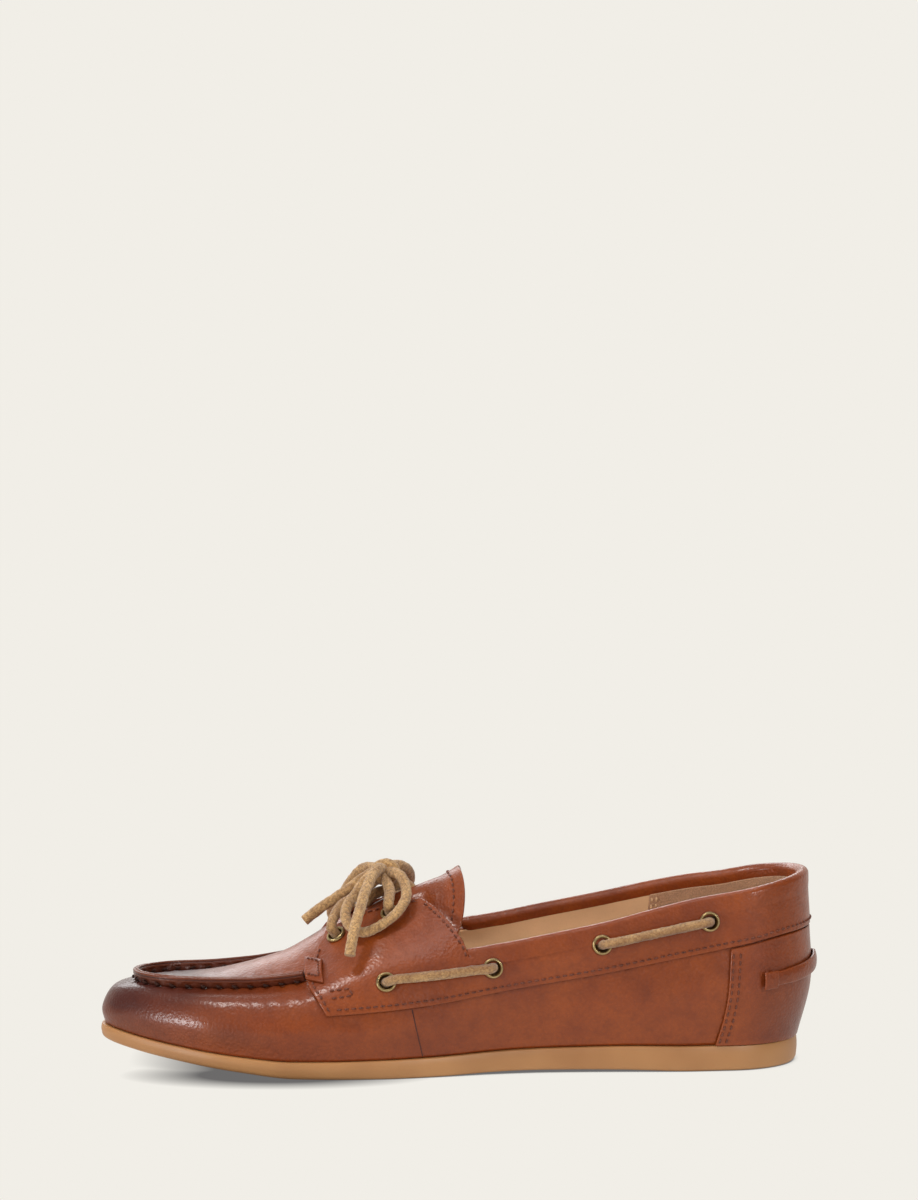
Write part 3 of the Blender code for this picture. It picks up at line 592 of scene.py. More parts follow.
# The bow's routes, chosen over the flaps.
KNOT_PLACE = (-0.0285, -0.0020, 0.0705)
LOOP_OUTER = (
    (-0.0246, -0.0078, 0.0702),
    (-0.0220, -0.0108, 0.0691),
    (-0.0205, -0.0140, 0.0662),
    (-0.0204, -0.0180, 0.0624),
    (-0.0226, -0.0215, 0.0589),
    (-0.0263, -0.0235, 0.0555),
    (-0.0310, -0.0250, 0.0527),
    (-0.0353, -0.0255, 0.0511),
    (-0.0386, -0.0250, 0.0516),
    (-0.0413, -0.0230, 0.0535),
    (-0.0424, -0.0200, 0.0561),
    (-0.0415, -0.0160, 0.0595),
    (-0.0389, -0.0120, 0.0624),
    (-0.0366, -0.0096, 0.0655),
    (-0.0345, -0.0086, 0.0680),
)
LOOP_INNER = (
    (-0.0244, 0.0042, 0.0713),
    (-0.0210, 0.0074, 0.0702),
    (-0.0188, 0.0120, 0.0676),
    (-0.0182, 0.0165, 0.0640),
    (-0.0200, 0.0205, 0.0598),
    (-0.0245, 0.0235, 0.0560),
    (-0.0300, 0.0250, 0.0533),
    (-0.0353, 0.0255, 0.0516),
    (-0.0392, 0.0245, 0.0520),
    (-0.0420, 0.0220, 0.0540),
    (-0.0430, 0.0185, 0.0567),
    (-0.0422, 0.0152, 0.0603),
    (-0.0402, 0.0120, 0.0640),
    (-0.0376, 0.0088, 0.0678),
    (-0.0352, 0.0062, 0.0700),
)
END_HANGING = (
    (-0.0300, -0.0082, 0.0719),
    (-0.0322, -0.0122, 0.0702),
    (-0.0342, -0.0170, 0.0671),
    (-0.0357, -0.0215, 0.0640),
    (-0.0370, -0.0262, 0.0600),
    (-0.0383, -0.0298, 0.0562),
    (-0.0394, -0.0325, 0.0522),
    (-0.0403, -0.0350, 0.0483),
    (-0.0409, -0.0370, 0.0445),
)
END_FREE = (
    (-0.0358, -0.0015, 0.0674),
    (-0.0398, -0.0015, 0.0642),
    (-0.0451, -0.0015, 0.0605),
    (-0.0506, -0.0015, 0.0568),
    (-0.0546, -0.0015, 0.0538),
    (-0.0574, -0.0015, 0.0515),
)
# The strand from each throat eyelet up to the knot, on the outer side; the inner side mirrors it.
STRAND_LOW = ((-0.0445, -0.0110, 0.0580), (-0.0385, -0.0060, 0.0615), (-0.0320, -0.0035, 0.0660))
STRAND_HIGH = ((-0.0262, -0.0115, 0.0640), (-0.0275, -0.0060, 0.0675))


# Camera, found from the photograph: the point it looks at, its place in the frame and its distance
LOOKED_AT = (-0.0005, 0.0, 0.030)
LOOKED_AT_PIXEL = (458.5, 977.2)
PHOTO_SIZE = (918, 1200)
CAMERA_DISTANCE = 1.4
PIXELS_PER_METRE = 2705.0
CAMERA_AZIMUTH = -2.0
CAMERA_ELEVATION = 10.0
CAMERA_ROLL = 0.2
SENSOR = 36.0

# Fine grids
UPPER_COLUMNS = 190
UPPER_ROWS = 46
SADDLE_COLUMNS = 150
SADDLE_ROWS = 20
LINING_COLUMNS = 110
LINING_ROWS = 22
HEEL_COLUMNS = 40

# Places of the scene's own pieces, as shares of the length
HEEL_SUEDE_FRONT = 0.205
RIDGE_TAB_FRONT = 0.7045
RIDGE_TAB_BACK = 0.6790
SIDE_SEAM_LOW = 0.512
SIDE_SEAM_HIGH = 0.535
TONGUE_STITCH = 0.0165

# Corners of the stitched bar on the saddle: share of the length and share of the collar height
BAR_CORNERS = ((0.6740, 0.450), (0.6450, 0.468), (0.6410, 0.438), (0.6740, 0.416))

# Leather and lining in metres, and the rounding of a sheet's edge
LINING_WALL = 0.0004
LINING_GAP = 0.00005
HEEL_SUEDE = 0.0006
STRAP_TAB = 0.0009
RIDGE_TAB = 0.0013
EDGE_ROUND = 0.00038
FOOTBED_ROUND = 0.0006

# Heights of the lower and upper edge of the tab at the ridge's end, in metres
RIDGE_TAB_LOW = 0.0325
RIDGE_TAB_HIGH = 0.0388

# Soft forms in metres: how far a surface swells, dips, stands off or reaches down
SOLE_CROWN = 0.00022
GATHER_DEPTH = 0.00042
STRAP_CROWN = 0.00045
STRAP_BED = 0.0002
RIDGE_TAB_CROWN = 0.0006
RIDGE_TOP = 0.00035
RIDGE_FOOT = 0.0004
RIDGE_SLIM = 0.00025
RIDGE_PINCH = 0.00035
RIDGE_GROOVE = 0.00050
RIDGE_LINE = 0.00026
COLLAR_SWELL = 0.00022
SKIRT_TAPER = 0.00035
OUTER_SKIRT = 0.0034
INNER_SKIRT = 0.0012
SIDE_SEAM_RADIUS = 0.00022
SIDE_SEAM_LIFT = 0.00002

# Angle from the ridge's top to the line pressed along each of its edges
RIDGE_LINE_TURN = 0.95

# Stitches in metres: places off an edge, and pitches of their own
HEM_STITCH = 0.0020
EDGE_STITCH = 0.0018
TAB_STITCH = 0.0018
COUNTER_ROWS = (1.0 * MM, 3.6 * MM)
SUEDE_ROWS = (1.0 * MM, 2.8 * MM)
BAR_PITCH = 2.6 * MM
TAB_PITCH = 1.9 * MM
SUEDE_PITCH = 2.6 * MM
TONGUE_PITCH = 2.8 * MM

# A hand stitch: share of the pitch that it covers, thickness, and its two ends as distances out
# from the ridge's middle and down or up
HAND_STITCH_SHARE = 0.40
HAND_STITCH_RADIUS = 0.00050
HAND_STITCH_FOOT_OUT = 0.00150
HAND_STITCH_FOOT_DOWN = 0.0001
HAND_STITCH_HEAD_OUT = 0.00130
HAND_STITCH_HEAD_UP = 0.0006

# Laces: spacing of the points along them, and how far they dip into and out of an eyelet
BOW_SPACING = 0.0007
SIDE_LACE_SPACING = 0.0006
LACE_DIP = 0.0012
LACE_ENTRY_DIP = 0.0016

# The wrap round the knot: its middle off the knot, and its half sizes along and up
WRAP_MIDDLE = np.array((0.0007, -0.0016, -0.0006))
WRAP_HALF_LENGTH = 0.0037
WRAP_HALF_HEIGHT = 0.0028

# The half knot below the bow: its middle off the knot, and its path from there
HALF_KNOT = np.array((0.0, 0.0034, -0.0058))
HALF_KNOT_PATH = (
    (-0.0068, 0.0, -0.0076),
    (-0.0030, 0.0, -0.0038),
    (0.0020, 0.0, -0.0020),
    (0.0070, 0.0, 0.0000),
    (0.0098, 0.0, -0.0010),
    (0.0116, 0.0, -0.0044),
)

# Painted shadow on the paper: reach of the dark line where the sole touches it, and the soft oval
# below the toe by its centre and its half sizes
CONTACT_REACH = 0.014
TOE_SHADE_CENTRE = (-0.066, -0.031)
TOE_SHADE_HALF = (0.058, 0.027)

# Light from all round, and each lamp: name, place, size, power and colour
SKY_STRENGTH = 0.14
WARM = (1.0, 0.97, 0.93)
COOL = (0.96, 0.98, 1.0)
LIT_POINT = (0.0, 0.0, 0.03)
LAMPS = (
    ("fill", (-0.10, -1.10, 0.95), (1.3, 0.9), 5.6, WARM),
    ("overhead", (-0.46, -0.26, 1.06), (0.20, 0.16), 5.0, WARM),
    ("left", (-1.04, -0.62, 0.17), (0.15, 0.13), 5.0, COOL),
    ("right", (0.66, -0.94, 0.44), (0.16, 0.14), 3.4, COOL),
    ("rim", (0.10, -0.05, 1.15), (0.90, 0.20), 2.4, COOL),
    ("back", (-0.25, 1.35, 0.85), (1.4, 0.5), 10.0, COOL),
)


# Colour and materials

def linear(text):
    """An sRGB hex colour as linear red, green and blue."""
    values = [int(text[i : i + 2], 16) / 255 for i in (1, 3, 5)]
    return tuple(v / 12.92 if v <= 0.04045 else ((v + 0.055) / 1.055) ** 2.4 for v in values)


def add_node(tree, kind, values=None, links=None, **settings):
    """A node with its settings, socket values and links."""
    made = tree.nodes.new(kind)
    for key, value in settings.items():
        setattr(made, key, value)
    for key, value in (values or {}).items():
        made.inputs[key].default_value = value
    for key, source in (links or {}).items():
        tree.links.new(source, made.inputs[key])
    return made


# Sockets of the colour mix node
MIX_FACTOR, MIX_A, MIX_B, MIX_RESULT = 0, 6, 7, 2


def mixed(tree, factor, first, second, blend="MIX"):
    """A colour mixed from two colours, each a socket or a linear colour."""
    values, links = {}, {}
    for key, item in ((MIX_FACTOR, factor), (MIX_A, first), (MIX_B, second)):
        if isinstance(item, bpy.types.NodeSocket):
            links[key] = item
        elif isinstance(item, tuple):
            values[key] = (*item, 1.0)
        else:
            values[key] = item
    made = add_node(tree, "ShaderNodeMix", values, links, data_type="RGBA", blend_type=blend)
    return made.outputs[MIX_RESULT]


def ranged(tree, source, low, high, new_low, new_high):
    """A value taken from one range to another, held at both ends."""
    values = {"From Min": low, "From Max": high, "To Min": new_low, "To Max": new_high}
    return add_node(tree, "ShaderNodeMapRange", values, {"Value": source}).outputs["Result"]


def maths(tree, operation, first, second, **settings):
    """The value that a maths node makes of two sockets."""
    links = {0: first, 1: second}
    made = add_node(tree, "ShaderNodeMath", None, links, operation=operation, **settings)
    return made.outputs["Value"]


def vector_maths(tree, operation, first, second=None, output="Vector"):
    """What a vector maths node makes of a socket and, where it takes one, a fixed vector."""
    values = None if second is None else {1: second}
    made = add_node(tree, "ShaderNodeVectorMath", values, {0: first}, operation=operation)
    return made.outputs[output]


def attribute_of(tree, name):
    """A value that the mesh carries at its points."""
    return add_node(tree, "ShaderNodeAttribute", attribute_name=name).outputs["Fac"]


def start_material(name, roughness, colour, **sockets):
    """A material with its shader's constant sockets set, and its object coordinates."""
    made = bpy.data.materials.new(name)
    made.use_nodes = True
    tree = made.node_tree
    shader = tree.nodes["Principled BSDF"]
    shader.inputs["Base Color"].default_value = (*colour, 1.0)
    shader.inputs["Roughness"].default_value = roughness
    for key, value in sockets.items():
        shader.inputs[key.replace("_", " ")].default_value = value
    made.diffuse_color = (*colour, 1.0)
    place = add_node(tree, "ShaderNodeTexCoord").outputs["Object"]
    return made, tree, shader, place


def noise_of(tree, place, size, detail=2.0, rough=0.5):
    """A noise whose features are about one size in metres."""
    values = {"Scale": 1 / size, "Detail": detail, "Roughness": rough}
    return add_node(tree, "ShaderNodeTexNoise", values, {"Vector": place}).outputs["Fac"]


def bump_of(tree, height, distance, strength, normal=None):
    links = {"Height": height}
    if normal:
        links["Normal"] = normal
    values = {"Distance": distance, "Strength": strength}
    return add_node(tree, "ShaderNodeBump", values, links).outputs["Normal"]


def burnished_leather(name, colours, grain):
    """Full-grain aniline leather, waxed and burnished by hand.

    It gives a deep colour with darker clouds, fine pores in the highlights and a waxed shine.
    """
    light, middle, dark = colours
    made, tree, shader, place = start_material(
        name, 0.42, middle, Specular_IOR_Level=0.28, Coat_Weight=0.46, Coat_Roughness=0.24, Coat_IOR=1.45
    )
    clouds = noise_of(tree, place, 0.020, 3.0)
    streaks = noise_of(tree, place, 0.0045, 4.0, 0.6)
    pores = noise_of(tree, place, grain, 2.0, 0.7)
    cells = add_node(
        tree,
        "ShaderNodeTexVoronoi",
        {"Scale": 1 / (1.3 * grain), "Randomness": 1.0},
        {"Vector": place},
        feature="SMOOTH_F1",
    ).outputs["Distance"]
    burnish_and_shade = attribute_of(tree, "burnish_and_shade")
    wear_and_highlight = attribute_of(tree, "wear_and_highlight")
    colour = mixed(tree, ranged(tree, clouds, 0.35, 0.68, 0.25, 0.80), middle, light)
    colour = mixed(tree, ranged(tree, streaks, 0.42, 0.70, 0.0, 0.20), colour, dark)
    uneven = ranged(tree, clouds, 0.3, 0.7, 0.75, 1.15)
    # Burnish and painted shade, made uneven by the clouds.
    cloudy = maths(tree, "MULTIPLY", burnish_and_shade, uneven, use_clamp=True)
    colour = mixed(tree, cloudy, colour, dark)
    colour = mixed(tree, ranged(tree, cells, 0.15, 0.75, 0.0, 0.16), colour, dark)
    # Painted highlight and wear: the marked edges are mixed towards the light leather.
    colour = mixed(tree, ranged(tree, wear_and_highlight, 0.0, 1.0, 0.0, 0.45), colour, light)
    tree.links.new(colour, shader.inputs["Base Color"])
    rough = ranged(tree, streaks, 0.3, 0.7, 0.44, 0.58)
    tree.links.new(rough, shader.inputs["Roughness"])
    grainy = bump_of(tree, cells, 0.26 * MM, 0.80)
    grainy = bump_of(tree, pores, 0.20 * MM, 0.80, grainy)
    tree.links.new(bump_of(tree, streaks, 0.16 * MM, 0.30, grainy), shader.inputs["Normal"])
    tree.links.new(bump_of(tree, cells, 0.13 * MM, 0.60), shader.inputs["Coat Normal"])
    return made


def gum_rubber(colours):
    """Moulded crepe-free gum rubber: smooth satin, with a warm depth and wavy siping beneath."""
    light, dark = colours
    made, tree, shader, place = start_material(
        "gum_rubber", 0.46, light, IOR=1.52, Subsurface_Weight=0.10, Subsurface_Scale=0.003
    )
    shader.inputs["Subsurface Radius"].default_value = (1.0, 0.55, 0.3)
    clouds = noise_of(tree, place, 0.030, 2.0)
    specks = noise_of(tree, place, 0.0012, 3.0, 0.7)
    height = add_node(tree, "ShaderNodeSeparateXYZ", None, {"Vector": place}).outputs["Z"]
    low = ranged(tree, height, 0.0, 0.006, 1.0, 0.0)
    colour = mixed(tree, ranged(tree, clouds, 0.35, 0.7, 0.0, 0.7), light, dark)
    colour = mixed(tree, ranged(tree, specks, 0.6, 0.8, 0.0, 0.25), colour, dark)
    colour = mixed(tree, ranged(tree, low, 0.0, 1.0, 0.0, 0.18), colour, light)
    tree.links.new(colour, shader.inputs["Base Color"])
    tree.links.new(ranged(tree, clouds, 0.3, 0.7, 0.40, 0.54), shader.inputs["Roughness"])
    tree.links.new(bump_of(tree, specks, 0.08 * MM, 0.35), shader.inputs["Normal"])
    return made


def siped_rubber(colours):
    """The tread of the same rubber, cut with wavy razor lines 5 mm apart for grip on wet decks."""
    light, dark = colours
    made, tree, shader, place = start_material("siped_gum_rubber", 0.58, light, IOR=1.52)
    waves = add_node(
        tree,
        "ShaderNodeTexWave",
        {"Scale": 1 / 0.016, "Distortion": 2.2, "Detail": 0.0, "Detail Scale": 0.8},
        {"Vector": place},
        bands_direction="X",
        wave_profile="SIN",
    ).outputs["Fac"]
    cut = ranged(tree, waves, 0.90, 0.99, 0.0, 1.0)
    # Painted shade: the cut lines are darker, as shade in the narrow slits, and the bump presses them
    # in.
    tree.links.new(mixed(tree, cut, light, dark), shader.inputs["Base Color"])
    lifted = ranged(tree, cut, 0.0, 1.0, 1.0, 0.0)
    tree.links.new(bump_of(tree, lifted, 0.6 * MM, 0.9), shader.inputs["Normal"])
    return made


def smooth_lining(name, colours):
    """Vegetable-tanned lining leather: smooth and matt, with faint hair pores."""
    light, dark = colours
    made, tree, shader, place = start_material(name, 0.62, light, IOR=1.45)
    clouds = noise_of(tree, place, 0.022, 3.0)
    pores = noise_of(tree, place, 0.0007, 2.0, 0.6)
    colour = mixed(tree, ranged(tree, clouds, 0.32, 0.7, 0.0, 0.6), light, dark)
    colour = mixed(tree, ranged(tree, pores, 0.5, 0.75, 0.0, 0.22), colour, dark)
    tree.links.new(colour, shader.inputs["Base Color"])
    tree.links.new(ranged(tree, clouds, 0.3, 0.7, 0.54, 0.70), shader.inputs["Roughness"])
    tree.links.new(bump_of(tree, pores, 0.08 * MM, 0.5), shader.inputs["Normal"])
    return made


def napped_suede(name, colours, nap, sheen):
    """Split leather with a brushed nap: rough, with a soft sheen and light and dark patches."""
    light, dark = colours
    made, tree, shader, place = start_material(
        name, 0.92, light, IOR=1.45, Sheen_Weight=sheen, Sheen_Roughness=0.5
    )
    patches = noise_of(tree, place, 0.0042, 3.0, 0.6)
    fibres = noise_of(tree, place, nap, 4.0, 0.75)
    burnish_and_shade = attribute_of(tree, "burnish_and_shade")
    colour = mixed(tree, ranged(tree, patches, 0.38, 0.66, 0.0, 0.35), light, dark)
    colour = mixed(tree, ranged(tree, fibres, 0.43, 0.60, 0.0, 0.70), colour, dark)
    # Darker where burnished, and painted shade on a lace's underside.
    colour = mixed(tree, burnish_and_shade, colour, dark)
    tree.links.new(colour, shader.inputs["Base Color"])
    rough = bump_of(tree, fibres, 0.95 * MM, 1.0)
    tree.links.new(bump_of(tree, patches, 0.5 * MM, 0.5, rough), shader.inputs["Normal"])
    return made


def antique_brass(colours):
    """Pressed brass, darkened with acid and rubbed back bright on the rims."""
    light, dark = colours
    made, tree, shader, place = start_material("antique_brass", 0.34, light, Metallic=1.0)
    stain = noise_of(tree, place, 0.0016, 4.0, 0.65)
    geometry = add_node(tree, "ShaderNodeNewGeometry").outputs["Pointiness"]
    rubbed = ranged(tree, geometry, 0.48, 0.56, 0.0, 1.0)
    colour = mixed(tree, ranged(tree, stain, 0.38, 0.66, 0.15, 0.85), light, dark)
    colour = mixed(tree, rubbed, colour, light)
    tree.links.new(colour, shader.inputs["Base Color"])
    tree.links.new(ranged(tree, stain, 0.3, 0.7, 0.26, 0.46), shader.inputs["Roughness"])
    tree.links.new(bump_of(tree, stain, 0.05 * MM, 0.3), shader.inputs["Normal"])
    return made


def waxed_thread(name, colours, roughness):
    """Waxed polyester thread: two strands twisted, with a dull shine."""
    light, dark = colours
    made, tree, shader, place = start_material(name, roughness, light, IOR=1.4)
    fibres = noise_of(tree, place, 0.0005, 2.0, 0.6)
    colour = mixed(tree, ranged(tree, fibres, 0.35, 0.65, 0.0, 1.0), light, dark)
    tree.links.new(colour, shader.inputs["Base Color"])
    tree.links.new(bump_of(tree, fibres, 0.12 * MM, 0.7), shader.inputs["Normal"])
    return made


def shade_pair(base, share):
    """A colour, and a darker one that is a share of it."""
    return tuple(base), tuple(share * c for c in base)


def finish(name):
    """One of the shoe's materials, made the first time it is asked for."""
    if name in bpy.data.materials:
        return bpy.data.materials[name]
    shades = bpy.context.scene.boat_shoe_colours
    leather = [tuple(c) for c in (shades.leather_light, shades.leather, shades.leather_dark)]
    grain = bpy.context.scene.boat_shoe_sizes.grain
    if name == "burnished_leather":
        return burnished_leather(name, leather, grain)
    if name == "dark_burnished_leather":
        darker = [leather[0], leather[1], tuple(0.6 * c for c in leather[2])]
        return burnished_leather(name, darker, grain)
    if name == "gum_rubber":
        return gum_rubber((tuple(shades.gum), tuple(shades.gum_dark)))
    if name == "siped_gum_rubber":
        return siped_rubber(shade_pair(shades.gum, 0.35))
    if name == "lining_leather":
        return smooth_lining(name, shade_pair(shades.lining, 0.72))
    if name == "heel_suede":
        return napped_suede(name, shade_pair(shades.heel_suede, 0.62), 0.0006, 0.25)
    if name == "rawhide_lace":
        return napped_suede(name, (tuple(shades.lace), tuple(shades.lace_dark)), 0.0009, 0.35)
    if name == "antique_brass":
        return antique_brass(shade_pair(shades.brass, 0.3))
    if name == "brown_thread":
        return waxed_thread(name, shade_pair(shades.thread, 0.4), 0.6)
    # Near-black, matt thread for the hand stitches: painted shadow of the dark slots at the base of the
    # ridge.
    if name == "dark_thread":
        return waxed_thread(name, shade_pair(tuple(0.2 * c for c in shades.thread), 0.5), 0.95)
    if name == "tan_thread":
        return waxed_thread(name, shade_pair(shades.lining, 0.6), 0.7)
    raise RuntimeError("no finish is called " + name)


# Where the leather is burnished dark, and where it is creased

def smooth_step(value, low, high):
    share = min(max((value - low) / (high - low), 0.0), 1.0)
    return share * share * (3 - 2 * share)


# How dark each burnished place becomes
TOE_DARK = 0.98
SEAM_DARK = 0.62
SPOT_DARK = 0.40
HEEL_DARK = 0.52
# The height and reach of the dark line below the seam, and of the spot at the side of the toe
SEAM_LINE_HEIGHT, SEAM_LINE_REACH = 0.030, 0.0065
SPOT_X, SPOT_X_REACH = -0.084, 0.009
SPOT_HEIGHT, SPOT_HEIGHT_REACH = 0.016, 0.005


def burnish_at(point):
    """How far the leather is darkened: at the toe, under the seam ridge, in a spot, at the heel."""
    x, _, z = point
    toe = smooth_step(-x, 0.082, 0.124) * (0.40 + 0.60 * smooth_step(z, 0.013, 0.026))
    line = math.exp(-(((z - SEAM_LINE_HEIGHT) / SEAM_LINE_REACH) ** 2))
    seam = smooth_step(-x, 0.040, 0.100) * line
    beside, above = (x - SPOT_X) / SPOT_X_REACH, (z - SPOT_HEIGHT) / SPOT_HEIGHT_REACH
    spot = math.exp(-(beside**2) - above**2)
    heel = smooth_step(x, 0.098, 0.128) * smooth_step(-z, -0.044, -0.012)
    return min(1.0, TOE_DARK * toe + SEAM_DARK * seam + SPOT_DARK * spot + HEEL_DARK * heel)


# Soft creases, each a line in X and Z on one side: its ends, its width and its depth in millimetres
CREASES = (
    ("outer", (-65.0, 31.0), (-60.0, 20.0), 1.4, 0.46),
    ("outer", (-61.5, 30.0), (-56.0, 22.0), 0.9, 0.34),
    ("outer", (-58.5, 31.5), (-51.0, 22.0), 1.2, 0.48),
    ("outer", (-55.0, 32.0), (-49.5, 25.5), 0.9, 0.38),
    ("outer", (-71.0, 29.0), (-66.5, 20.0), 1.5, 0.36),
    ("outer", (-76.0, 28.5), (-73.0, 22.0), 1.2, 0.26),
    ("outer", (-84.0, 27.5), (-81.0, 21.0), 1.9, 0.24),
    ("outer", (-46.0, 22.0), (-36.0, 19.0), 2.2, 0.26),
    ("inner", (-63.0, 31.0), (-57.0, 22.0), 1.6, 0.28),
    ("inner", (-56.0, 32.0), (-48.0, 24.5), 1.3, 0.30),
    ("inner", (-72.0, 28.0), (-68.0, 21.0), 1.9, 0.20),
)
# Broad dents and swells in X and Z: centre, reach and height in millimetres
SWELLS = (
    ("outer", (-38.0, 41.0), (7.0, 4.0), -0.35),
    ("outer", (-28.0, 45.5), (9.0, 4.5), 0.40),
    ("outer", (101.0, 37.0), (5.0, 8.0), -0.40),
    ("outer", (92.0, 40.0), (6.0, 6.0), 0.30),
    ("inner", (-36.0, 42.0), (8.0, 5.0), -0.35),
    ("inner", (98.0, 38.0), (6.0, 8.0), -0.35),
)


def relief_at(point, side):
    """The height of the creases and swells at a place, in metres."""
    x, z = point[0] / MM, point[2] / MM
    height = 0.0
    for where, start, end, width, depth in CREASES:
        if where != side:
            continue
        dx, dz = end[0] - start[0], end[1] - start[1]
        share = ((x - start[0]) * dx + (z - start[1]) * dz) / (dx * dx + dz * dz)
        held = min(max(share, 0.0), 1.0)
        away = math.hypot(x - start[0] - held * dx, z - start[1] - held * dz) / width
        fade = math.sin(math.pi * min(max(share, 0.05), 0.95))
        height += depth * fade * (0.55 * math.exp(-((away - 1.5) ** 2)) - math.exp(-away * away))
    for where, centre, reach, rise in SWELLS:
        if where == side:
            away = ((x - centre[0]) / reach[0]) ** 2 + ((z - centre[1]) / reach[1]) ** 2
            height += rise * math.exp(-away)
    return height * MM


def place_at(side, along, height):
    """The column and t of the last at a share of the length and a height."""
    q = column_reaching(side, along, lambda one: t_at_height(one, side, height, 0.95))
    return q, t_at_height(q, side, height, 0.95)


# Mesh makers

def shaped(name, points, faces, finishes, sharp=50, face_finish=None, dark=None, wear_and_highlight=None):
    """A smooth mesh object with its finishes, riding on the root body."""
    mesh = bpy.data.meshes.new(name)
    mesh.from_pydata([tuple(p) for p in points], [], faces)
    if face_finish is not None:
        for polygon, index in zip(mesh.polygons, face_finish):
            polygon.material_index = index
    if dark is None:
        dark = [burnish_at(p) for p in points]
    # Each point's darkening: burnish, or the painted shade that some pieces pass in its place.
    layer = mesh.attributes.new("burnish_and_shade", "FLOAT", "POINT")
    layer.data.foreach_set("value", dark)
    layer = mesh.attributes.new("wear_and_highlight", "FLOAT", "POINT")
    layer.data.foreach_set("value", wear_and_highlight if wear_and_highlight is not None else [0.0] * len(points))
    tidy = bmesh.new()
    tidy.from_mesh(mesh)
    bmesh.ops.remove_doubles(tidy, verts=tidy.verts, dist=2e-6)
    bmesh.ops.recalc_face_normals(tidy, faces=tidy.faces)
    tidy.to_mesh(mesh)
    tidy.free()
    mesh.shade_smooth()
    mesh.set_sharp_from_angle(angle=math.radians(sharp))
    for one in finishes:
        mesh.materials.append(finish(one))
    made = bpy.data.objects.new(name, mesh)
    bpy.context.scene.collection.objects.link(made)
    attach(made, "root")
    return made


def band_faces(first, second, around):
    """The quads between two rings of points, each ring given by the number of its first point."""
    faces = []
    for j in range(around):
        k = (j + 1) % around
        faces.append((first + j, second + j, second + k, first + k))
    return faces


def sheet_faces(rows, columns):
    """The quads of a grid of points that is stored column by column."""
    faces = []
    for i in range(columns - 1):
        for j in range(rows - 1):
            a = i * rows + j
            faces.append((a, a + rows, a + rows + 1, a + 1))
    return faces


def leather_sheet(name, outer, inner, rows, finishes, edge_wear_and_highlight=0.0, dark=None):
    """A sheet between two grids, closed round its edge, with its edges rounded."""
    columns = len(outer) // rows
    faces = sheet_faces(rows, columns)
    base = rows * columns
    back = [tuple(base + v for v in reversed(face)) for face in faces]
    edge = [i * rows for i in range(columns)]
    edge += [(columns - 1) * rows + j for j in range(1, rows)]
    edge += [i * rows + rows - 1 for i in range(columns - 2, -1, -1)]
    edge += [j for j in range(rows - 2, 0, -1)]
    wall = [(a, b, base + b, base + a) for a, b in zip(edge, edge[1:] + edge[:1])]
    kinds = [0] * len(faces) + [len(finishes) - 1] * len(back) + [0] * len(wall)
    wear_and_highlight = [0.0] * (2 * base)
    # Painted highlight and wear: the points round the sheet's edge are marked to be lightened.
    for a in edge:
        wear_and_highlight[a] = edge_wear_and_highlight
    points = list(outer) + list(inner)
    if dark is not None:
        dark = list(dark) + list(dark)
    made = shaped(name, points, faces + back + wall, finishes, 60, kinds, dark, wear_and_highlight)
    turn = made.modifiers.new("rounded edge", "BEVEL")
    turn.width = EDGE_ROUND
    turn.segments = 2
    turn.limit_method = "ANGLE"
    turn.angle_limit = math.radians(50)
    return made


def surface_sheet(name, grid, thickness, finishes, edge_wear_and_highlight=0.0, relief=True):
    """A leather sheet on the last, from columns of (q, t, side, offset)."""
    outer, inner = [], []
    for column in grid:
        for q, t, side, offset in column:
            point, normal = last_point(q, t, side), last_normal(q, t, side)
            lift = relief_at(point, side) if relief else 0.0
            outer.append(point + (offset + lift) * normal)
            inner.append(point + (offset + lift - thickness) * normal)
    return leather_sheet(name, outer, inner, len(grid[0]), finishes, edge_wear_and_highlight)


def round_route(points, spacing):
    """Points at an even spacing on a smooth curve through a route's own points."""
    p = [np.array(r, float) for r in points]
    p = [2 * p[0] - p[1]] + p + [2 * p[-1] - p[-2]]
    fine = []
    for i in range(1, len(p) - 2):
        a, b, c, d = p[i - 1 : i + 3]
        start, end = curve_slopes(a, b, c, d)
        for step in range(16):
            s = step / 16
            fine.append(
                (2 * s**3 - 3 * s**2 + 1) * b
                + (s**3 - 2 * s**2 + s) * start
                + (3 * s**2 - 2 * s**3) * c
                + (s**3 - s**2) * end
            )
    fine.append(p[-2])
    return even_route(np.array(fine), spacing)


def running_lengths(points):
    """The length along a line from its start to each of its points."""
    steps = np.linalg.norm(np.diff(points, axis=0), axis=1)
    return np.concatenate([[0], np.cumsum(steps)])


def read_along(lengths, values, length):
    """Three values read at a length along a line, between the rows that its points have."""
    return np.array([np.interp(length, lengths, values[:, k]) for k in range(3)])


def even_route(fine, spacing):
    """The same line with its points at an even spacing."""
    along = running_lengths(fine)
    count = max(2, round(along[-1] / spacing))
    marks = np.linspace(0, along[-1], count + 1)
    return np.stack([np.interp(marks, along, fine[:, k]) for k in range(3)], axis=1)


def section_frames(route, first_up, closed=False):
    """At each point of a route: its direction, and an up and a side vector that don't twist."""
    frames = []
    up = np.array(first_up, float)
    count = len(route)
    for i in range(count):
        if closed:
            way = route[(i + 1) % count] - route[i - 1]
        else:
            way = route[min(i + 1, count - 1)] - route[max(i - 1, 0)]
        way = way / np.linalg.norm(way)
        up = up - way * np.dot(up, way)
        up = up / np.linalg.norm(up)
        frames.append((way, up, np.cross(way, up)))
    return frames


